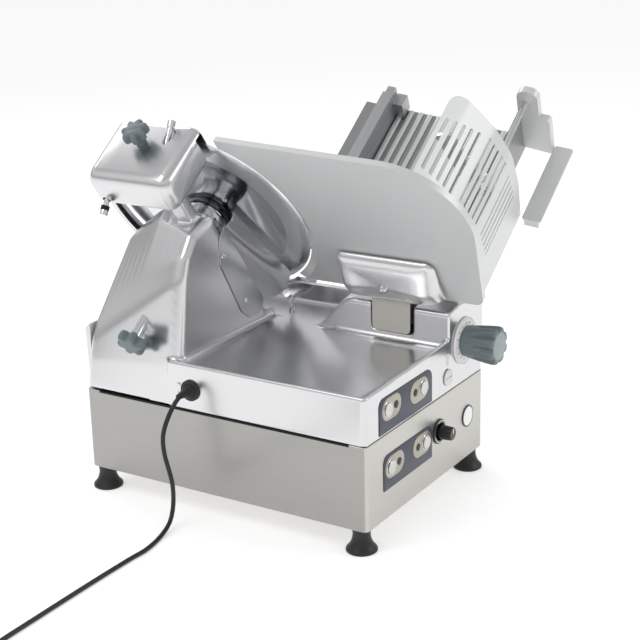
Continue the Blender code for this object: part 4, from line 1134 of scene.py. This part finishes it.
# ---------------------------------------------------------------- gauge plate
def make_gauge():
    """Gauge plate, the cover of its arm and the slot shield."""
    edge = BLADE_RADIUS
    low = -(edge - 0.0415)
    plan = rounded(
        [
            (-0.0994, edge + 0.0066), (-(edge + 0.349), edge - 0.017), (-(edge + 0.289), low),
            (-0.118, low),
        ],
        [0, 0.13, 0.02, 0], 20,
    )
    gauge = plate("gauge_plate_face", plan, -0.0105, -0.0005, "X", BLADE_FRAME)
    tool = turned(
        "blade_room",
        [
            (edge + 0.026, -0.0200), (edge + 0.0165, -0.0105), (edge + 0.0028, -0.0022),
            (edge + 0.0028, 0.0100),
        ],
        "X", 160, BLADE_FRAME,
    )
    carve(gauge, tool)
    soften(gauge, 0.0012, 2, 40)
    keep(gauge, "gauge", "aluminium_anodised", ["gauge_plate"], 30, True)
    gauge.data.materials.append(bpy.data.materials["aluminium_machined"])
    across = (BLADE_FRAME.to_3x3() @ Vector((1, 0, 0))).normalized()
    for face in gauge.data.polygons:
        if abs(face.normal.dot(across)) < 0.95 and (face.center - HUB).length < edge + 0.020:
            face.material_index = 1
    back = -0.0108
    base = low + 0.0055

    def depth_at(z):
        """How far the cover stands off the plate, deepest low down."""
        low_part = -0.036 - 0.006 * min(1, max(0, (z - base) / 0.035))
        high_part = -0.042 + 0.016 * min(1, max(0, (z - base - 0.035) / 0.058))
        return low_part if z < base + 0.035 else high_part

    rings = []
    for share, inset in (
        (0.0, 0.0), (0.30, 0.0), (0.52, 0.0012), (0.70, 0.0034), (0.84, 0.0066), (0.93, 0.0102),
        (0.985, 0.0145), (1.0, 0.0190),
    ):
        near, far = GAUGE_ARM_Y - 0.100 + inset * 1.9, GAUGE_ARM_Y + 0.080 - inset * 0.7
        bottom, top = base + inset * 0.55, base + 0.093 - inset * 1.1
        corners = [(near, bottom), (far, bottom), (far, top), (near, top)]
        outline = rounded(corners, [0.014, 0.010, 0.012, 0.016], 6)
        plan = []
        for k, point in enumerate(outline):
            here, after = Vector(point), Vector(outline[(k + 1) % len(outline)])
            plan.append(here)
            pieces = 1 + int((after - here).length / 0.02)
            if pieces > 1:
                pieces = 9
            plan += [here.lerp(after, j / pieces) for j in range(1, pieces)]
        rings.append([(back + (depth_at(z) - back) * share, y, z) for y, z in plan])
    counts = min(len(ring) for ring in rings)
    cover = skin("arm_cover_shell", [ring[:counts] for ring in rings], BLADE_FRAME)
    round_off = cover.modifiers.new("round off", "SUBSURF")
    round_off.levels = round_off.render_levels = 1
    alone(cover)
    bpy.ops.object.modifier_apply(modifier=round_off.name)
    keep(cover, "gauge", "cast_aluminium_polished", ["gauge_arm_cover"], 50)
    spot = BLADE_FRAME @ Matrix.Translation((0, GAUGE_ARM_Y, base + 0.035))
    washer = turned(
        "cover_washer", [(0.0085, -0.0340), (0.0085, -0.0408), (0.0078, -0.0416), (0.0040, -0.0416)], "X",
        32, spot,
    )
    keep(washer, "gauge", "chrome_plated")
    head = turned(
        "cover_bolt", [(0.0060, -0.0405), (0.0060, -0.0426), (0.0045, -0.0438), (0.0, -0.0438)], "X", 28,
        spot,
    )
    slit = block("slit", (-0.06, -0.0008, -0.0052), (-0.0430, 0.0008, 0.0052), spot)
    carve(head, slit)
    keep(head, "gauge", "chrome_plated", ["cover_screw"])
    shield = from_frame("slot_shield", "shield_sheet", 0.0003, 1)
    keep(shield, "gauge", "lacquer_pale", ["slot_shield"])


# ---------------------------------------------------------------- sharpener
def pillow_ring(low_x, high_x, low_z, high_z, radii, y, inset):
    """One section of the sharpener housing."""
    corners = [
        (low_x + inset, low_z + inset * 0.7), (high_x - inset * 0.5, low_z + inset * 0.7),
        (high_x - inset * 0.5, high_z - inset), (low_x + inset, high_z - inset),
    ]
    outline = rounded(corners, [max(r - inset * 0.4, 0.002) for r in radii], 7)
    return [(x, y, z) for x, z in outline]


def make_sharpener():
    """Sharpener housing, its clamp knob and two buttons."""
    low, high = BLADE_RADIUS - 0.050, BLADE_RADIUS + 0.013
    rings = []
    radius = 0.018
    stations = []
    for k in range(8):
        angle = math.pi / 2 * k / 7
        stations.append((-0.066 + radius * (1 - math.cos(angle)), radius * (1 - math.sin(angle))))
    for k in range(1, 6):
        stations.append((-0.066 + radius + (0.162 - 2 * radius) * k / 6, 0.0))
    for k in range(8):
        angle = math.pi / 2 * k / 7
        stations.append((0.096 - radius * (1 - math.sin(angle)), radius * (1 - math.cos(angle))))
    for y, inset in stations:
        rings.append(
            pillow_ring(-0.119, 0.012, low - 0.002, high + 0.001, [0.015, 0.005, 0.012, 0.024], y, inset)
        )
    housing = skin("sharpener_shell", rings, BLADE_FRAME)
    carve(
        housing,
        block("slit", (-0.012, -0.09, low - 0.02), (0.006, 0.12, BLADE_RADIUS + 0.0035), BLADE_FRAME),
    )
    hone_at = Vector((-0.020, -0.020, high))
    grind_at = Vector((-0.116, 0.072, low + 0.012))

    def lean(start):
        """A frame whose Z runs along a leaning button."""
        tip = Matrix.Rotation(math.pi / 2 - SHARPENER_LEAN, 4, "Y")
        return BLADE_FRAME @ Matrix.Translation(start) @ tip

    for start in (hone_at, grind_at):
        carve(housing, turned("hole", [(0.0072, -0.020), (0.0072, 0.020)], "Z", 32, lean(start)))
    keep(housing, "sharpener", "cast_aluminium_polished", ["sharpener_housing"], 40)
    for start, name in ((hone_at, "hone"), (grind_at, "grind")):
        # Each bush is near-black: painted shade inside the button's hole
        well = turned(
            "%s_bush" % name, [(0.0071, -0.019), (0.0071, -0.012), (0.0052, -0.012), (0.0052, -0.019)],
            "Z", 32, lean(start),
        )
        keep(well, "sharpener", "gap_painted_shade")
    hone = turned(
        "hone_pin",
        [
            (0.0045, -0.0100), (0.0045, 0.0030), (0.0036, 0.0036), (0.0036, 0.0050), (0.0045, 0.0056),
            (0.0045, 0.0165), (0.0064, 0.0172), (0.0065, 0.0190), (0.0065, 0.0280), (0.0058, 0.0289),
            (0.0, 0.0290),
        ],
        "Z", 36, lean(hone_at),
    )
    keep(hone, "hone_button", "chrome_plated", ["sharpener_button_hone"])
    grind = turned(
        "grind_pin",
        [
            (0.0, -0.0280), (0.0058, -0.0279), (0.0065, -0.0270), (0.0065, -0.0135), (0.0058, -0.0122),
            (0.0045, -0.0118), (0.0045, 0.0790),
        ],
        "Z", 36, lean(grind_at),
    )
    keep(grind, "grind_button", "chrome_plated", ["sharpener_button_grind"])
    spot = BLADE_FRAME @ Matrix.Translation((-0.035, 0.024, 0))
    lobed_knob(
        "clamp_knob", bpy.context.scene.slicer_sizes.clamp_knob, 0.0075, 7, (high + 0.016, high + 0.033),
        "Z", spot, "sharpener_knob", ["sharpener_knob"],
    )
    stem = turned(
        "clamp_stem",
        [
            (0.0092, high + 0.0003), (0.0092, high + 0.0045), (0.0078, high + 0.0060),
            (0.0078, high + 0.0165),
        ],
        "Z", 32, spot,
    )
    keep(stem, "sharpener_knob", "nylon_grey")
    collar = turned(
        "clamp_collar", [(0.0110, high - 0.002), (0.0110, high + 0.0002), (0.005, high + 0.0002)], "Z",
        32, spot,
    )
    keep(collar, "sharpener", "cast_aluminium_polished")


# ---------------------------------------------------------------- carriage
def make_carriage():
    """Tray, fence, slotted guard, rod, handle and pusher."""
    for node, name, look, width in (
        # the tray floor's darker colour is painted shade between its ribs
        ("product_tray", "tray_floor", "aluminium_tray_painted_shade", 0.0003),
        ("tray_fence", "fence_wall", "aluminium_fence", 0.0006),
        ("rod_bracket", "bracket_plate", "aluminium_anodised", 0.0012),
        ("carriage_handle", "handle_plate", "aluminium_anodised", 0.0007),
        ("carriage_arm", "arm_upright", "cast_aluminium_polished", 0.0020),
    ):
        part = from_frame(node, name, width, 3)
        keep(part, "carriage", look, [node], 35, True)
    outer = [
        (-0.0305, 0.0), (-0.033, 0.087), (-0.027, 0.153), (-0.0044, 0.2064), (0.0305, 0.2535),
        (0.0553, 0.276),
    ]
    bent = rounded(outer, [0, 0.09, 0.09, 0.06, 0.06, 0], 4)
    inner = []
    for k, point in enumerate(bent):
        before, after = Vector(bent[max(k - 1, 0)]), Vector(bent[min(k + 1, len(bent) - 1)])
        way = (after - before).normalized()
        inner.append((point[0] + way.y * 0.002, point[1] - way.x * 0.002))
    guard = plate("guard_sheet", bent + inner[::-1], 0, 0.170, "X", CARRIAGE_FRAME)
    inward = Vector((0.0305 - 0.0553, 0.2535 - 0.276)).normalized()
    outline = []
    for k in range(13):
        angle = math.pi / 2 * k / 12
        outline.append((0.145 + 0.025 * math.cos(angle), 0.025 - 0.025 * math.sin(angle)))
    outline += [(0.145, -0.006), (0.176, -0.006), (0.176, 0.025)]
    square = Vector((-inward.y, inward.x))
    rings = []
    for off in (-0.01, 0.01):
        rings.append(
            [
                (
                    x, 0.0553 + inward.x * a + square.x * off, 0.276 + inward.y * a + square.y * off,
                ) for x, a in outline
            ]
        )
    carve(guard, skin("corner", rings, CARRIAGE_FRAME))
    groups = (
        ((0.047, 0.2685), (0.008, 0.2235), 0.0068, 0.015, (0.141, 0.118)),
        ((-0.0052, 0.2045), (-0.0262, 0.155), 0.0062, 0.019, (0.149, 0.149)),
        ((-0.0308, 0.127), (-0.0325, 0.078), 0.0036, 0.021, (0.146, 0.146)),
    )
    for start, end, width, x_low, x_high in groups:
        first, last = Vector(end), Vector(start)
        along = (last - first).normalized()
        turn = Matrix.Rotation(math.atan2(along.y, along.x), 4, "X")
        for k in range(5):
            middle = first.lerp(last, k / 4)
            reach = x_high[0] + (x_high[1] - x_high[0]) * k / 4
            half = width / 2
            plan = rounded(
                [(x_low, -half), (reach, -half), (reach, half), (x_low, half)], width * 0.49, 6,
            )
            spot = CARRIAGE_FRAME @ Matrix.Translation((0, *middle)) @ turn
            carve(guard, plate("slot", plan, -0.012, 0.012, "Z", spot))
    soften(guard, 0.0004, 2, 50)
    keep(guard, "carriage", "aluminium_anodised", ["slotted_guard"], 30, True)
    ribs = []
    for k in range(13):
        y = 0.040 + k * 0.208 / 12
        profile = [
            (y - 0.0045, 0.0062), (y - 0.0042, 0.0085), (y - 0.0030, 0.0095), (y + 0.0030, 0.0095),
            (y + 0.0042, 0.0085), (y + 0.0045, 0.0062),
        ]
        ribs.append(plate("tray_ribs", profile, 0.003, 0.328, "X", CARRIAGE_FRAME))
    alone(ribs[0])
    for rib in ribs:
        rib.select_set(True)
    bpy.ops.object.join()
    keep(ribs[0], "carriage", "aluminium_anodised", (), 50)
    rod = from_frame("pusher_rod", "rod_bar", 0.0004, 2)
    keep(rod, "carriage", "chrome_plated", ["pusher_rod"])
    rivet = turned(
        "guard_rivet", [(0.0034, -0.0300), (0.0034, -0.0325), (0.0024, -0.0334), (0.0, -0.0336)], "Y", 20,
        CARRIAGE_FRAME, (0.155, 0.012),
    )
    keep(rivet, "carriage", "chrome_plated")
    sleeve = from_frame("pusher_sleeve", "sleeve_turned", 0.0004, 2)
    keep(sleeve, "pusher_sleeve", "chrome_plated", ["pusher_sleeve"])
    palm = from_frame("pusher", "pusher_palm", 0.0010, 2)
    keep(palm, "pusher", "cast_aluminium_polished", ["pusher"])


# ---------------------------------------------------------------- cord
def smooth(route, count):
    """Points evenly spread on a smooth curve through the route."""
    route = [Vector(point) for point in route]
    dense = []
    for k in range(len(route) - 1):
        p0 = route[max(k - 1, 0)]
        p1, p2 = route[k], route[k + 1]
        p3 = route[min(k + 2, len(route) - 1)]
        for j in range(16):
            t = j / 16
            a = 2 * p1 + (p2 - p0) * t
            b = (2 * p0 - 5 * p1 + 4 * p2 - p3) * t**2
            c = (3 * p1 - p0 - 3 * p2 + p3) * t**3
            dense.append((a + b + c) / 2)
    dense.append(route[-1])
    lengths = [0]
    for k in range(1, len(dense)):
        lengths.append(lengths[-1] + (dense[k] - dense[k - 1]).length)
    found = []
    k = 0
    for j in range(count):
        goal = lengths[-1] * j / (count - 1)
        while k < len(dense) - 2 and lengths[k + 1] < goal:
            k += 1
        share = (goal - lengths[k]) / (lengths[k + 1] - lengths[k])
        found.append(dense[k].lerp(dense[k + 1], share))
    return found


def make_cord():
    """The lead on its route, its coil, strain relief and plug."""
    radius = bpy.context.scene.slicer_sizes.cord_radius
    y, z = CORD_EXIT
    low = radius + 0.0001
    route = [
        (-0.0123, y, z), (-0.024, y, z), (-0.040, y, z - 0.006), (-0.058, y + 0.003, z - 0.027),
        (-0.067, y + 0.008, z - 0.056), (-0.067, y + 0.007, z - 0.087), (-0.064, y + 0.002, z - 0.116),
        (-0.060, y, 0.4 * z - 0.014), (-0.060, y + 0.001, 0.2 * z - 0.004), (-0.073, y, low + 0.0095),
        (-0.108, y - 0.0065, low), (-0.153, y - 0.0140, low), (-0.186, y - 0.0120, low),
        (-0.25, y - 0.0100, low), (-0.32, y - 0.0090, low), (-0.40, y - 0.0085, low),
        (-0.47, y - 0.0085, low),
    ]
    line = y - 0.0085
    coil_radius = 11 * radius
    outer = coil_radius + 2 * radius
    coil_x = -0.545 - 0.0003 - outer
    turns = 4.0
    layers = []
    steps = int(16 * turns)
    # the cord comes in along the front of the coil, then winds upward in two columns
    lead = [(-0.505, line - 0.004, low), (-0.535, line - 0.018, low), (-0.562, line - 0.0345, low)]
    for k in range(steps + 1):
        turn = k / 16
        angle = -math.pi / 2 - 2 * math.pi * turn
        odd = 0.75 if int(turn) % 2 else -0.75
        blend = turn - int(turn)
        reach = coil_radius - radius * (-odd if blend > 0.85 else odd)
        height = low + 1.02 * radius * turn
        layers.append((coil_x + reach * math.cos(angle), line + reach * math.sin(angle), height))
    final = layers[-1]
    route = route + lead + layers
    tail = [
        (final[0] - 0.020, final[1] + 0.002, final[2]), (coil_x - outer + 0.010, line - 0.014, 0.016),
        (coil_x - outer - 0.0003, line, 0.013),
    ]
    route += tail
    points = [Vector(p) + Vector((CORNER_X, CORNER_Y, 0)) for p in smooth(route, 190)]
    data = bpy.data.curves.new("power_lead", "CURVE")
    data.dimensions = "3D"
    data.bevel_depth = radius
    data.bevel_resolution = 4
    data.use_fill_caps = True
    spline = data.splines.new("POLY")
    spline.points.add(len(points) - 1)
    for knot, point in zip(spline.points, points):
        knot.co = (*point, 1)
    lead_piece = bpy.data.objects.new("power_lead", data)
    bpy.context.scene.collection.objects.link(lead_piece)
    data.materials.append(bpy.data.materials["rubber_black"])
    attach(lead_piece, "base")
    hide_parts("power_cord", "cord_coil")
    relief = turned(
        "strain_relief",
        [
            (0.0086, -0.0120), (0.0082, -0.0135), (0.0068, -0.0160), (0.0060, -0.0210), (0.0052, -0.0270),
            (0.0044, -0.0330), (0.0039, -0.0340),
        ],
        "X", 32, LAYOUT, (y, z),
    )
    keep(relief, "base", "rubber_black")
    plug = from_frame("plug", "plug_body", 0.003, 3)
    keep(plug, "base", "rubber_black", ["plug"])


# ---------------------------------------------------------------- operators
class SLICER_OT_materials(bpy.types.Operator):
    """Make the finishes and give each CAD node its own"""

    bl_idname = "slicer.materials"
    bl_label = "Materials"

    def execute(self, context):
        make_materials()
        make_frame_looks()
        return {"FINISHED"}


class SLICER_OT_stage(bpy.types.Operator):
    """Make the camera, floor and lights"""

    bl_idname = "slicer.stage"
    bl_label = "Stage"

    def execute(self, context):
        make_stage()
        return {"FINISHED"}


class SLICER_OT_cord(bpy.types.Operator):
    """Make the cord, its coil and its plug"""

    bl_idname = "slicer.cord"
    bl_label = "Power cord"

    def execute(self, context):
        make_cord()
        return {"FINISHED"}


class SLICER_OT_base(bpy.types.Operator):
    """Make the base shell and its feet"""

    bl_idname = "slicer.base"
    bl_label = "Base"

    def execute(self, context):
        make_base()
        return {"FINISHED"}


class SLICER_OT_body(bpy.types.Operator):
    """Make the deck, block, tower and nose"""

    bl_idname = "slicer.body"
    bl_label = "Cast body"

    def execute(self, context):
        make_casting()
        return {"FINISHED"}


class SLICER_OT_fittings(bpy.types.Operator):
    """Make the rear cover, bush, caps and badge"""

    bl_idname = "slicer.fittings"
    bl_label = "Body fittings"

    def execute(self, context):
        make_body_fittings()
        return {"FINISHED"}


class SLICER_OT_controls(bpy.types.Operator):
    """Make the panels, selector and thickness knob"""

    bl_idname = "slicer.controls"
    bl_label = "Controls"

    def execute(self, context):
        make_front_controls()
        return {"FINISHED"}


class SLICER_OT_blade(bpy.types.Operator):
    """Make the blade, ring guard and deflector"""

    bl_idname = "slicer.blade"
    bl_label = "Blade"

    def execute(self, context):
        make_blade()
        return {"FINISHED"}


class SLICER_OT_gauge(bpy.types.Operator):
    """Make the gauge plate and its arm cover"""

    bl_idname = "slicer.gauge"
    bl_label = "Gauge plate"

    def execute(self, context):
        make_gauge()
        return {"FINISHED"}


class SLICER_OT_sharpener(bpy.types.Operator):
    """Make the sharpener and its buttons"""

    bl_idname = "slicer.sharpener"
    bl_label = "Sharpener"

    def execute(self, context):
        make_sharpener()
        return {"FINISHED"}


class SLICER_OT_carriage(bpy.types.Operator):
    """Make the tray, fence, guard and pusher"""

    bl_idname = "slicer.carriage"
    bl_label = "Carriage"

    def execute(self, context):
        make_carriage()
        return {"FINISHED"}


OPERATORS = (
    SLICER_OT_materials, SLICER_OT_stage, SLICER_OT_cord, SLICER_OT_base, SLICER_OT_body,
    SLICER_OT_fittings, SLICER_OT_controls, SLICER_OT_blade, SLICER_OT_gauge, SLICER_OT_sharpener,
    SLICER_OT_carriage,
)


class SLICER_PT_build(bpy.types.Panel):
    """Lists the sizes, the colours and the making steps"""

    bl_idname = "SLICER_PT_build"
    bl_label = "Deli meat slicer"
    bl_space_type = "VIEW_3D"
    bl_region_type = "UI"
    bl_category = "Slicer"

    def draw(self, context):
        for group in (context.scene.slicer_sizes, context.scene.slicer_colours):
            box = self.layout.box()
            for key in type(group).__annotations__:
                box.prop(group, key)
        for step in OPERATORS:
            self.layout.operator(step.bl_idname)


CLASSES = (SlicerSizes, SlicerColours, *OPERATORS, SLICER_PT_build)


def register():
    for item in CLASSES:
        bpy.utils.register_class(item)
    bpy.types.Scene.slicer_sizes = PointerProperty(type=SlicerSizes)
    bpy.types.Scene.slicer_colours = PointerProperty(type=SlicerColours)


def unregister():
    del bpy.types.Scene.slicer_colours
    del bpy.types.Scene.slicer_sizes
    for item in reversed(CLASSES):
        bpy.utils.unregister_class(item)


def main():
    """Registers the classes and runs each making step in order."""
    register()
    bpy.ops.slicer.materials()
    bpy.ops.slicer.stage()
    bpy.ops.slicer.cord()
    bpy.ops.slicer.base()
    bpy.ops.slicer.body()
    bpy.ops.slicer.fittings()
    bpy.ops.slicer.controls()
    bpy.ops.slicer.blade()
    bpy.ops.slicer.gauge()
    bpy.ops.slicer.sharpener()
    bpy.ops.slicer.carriage()


if __name__ == "__main__":
    main()
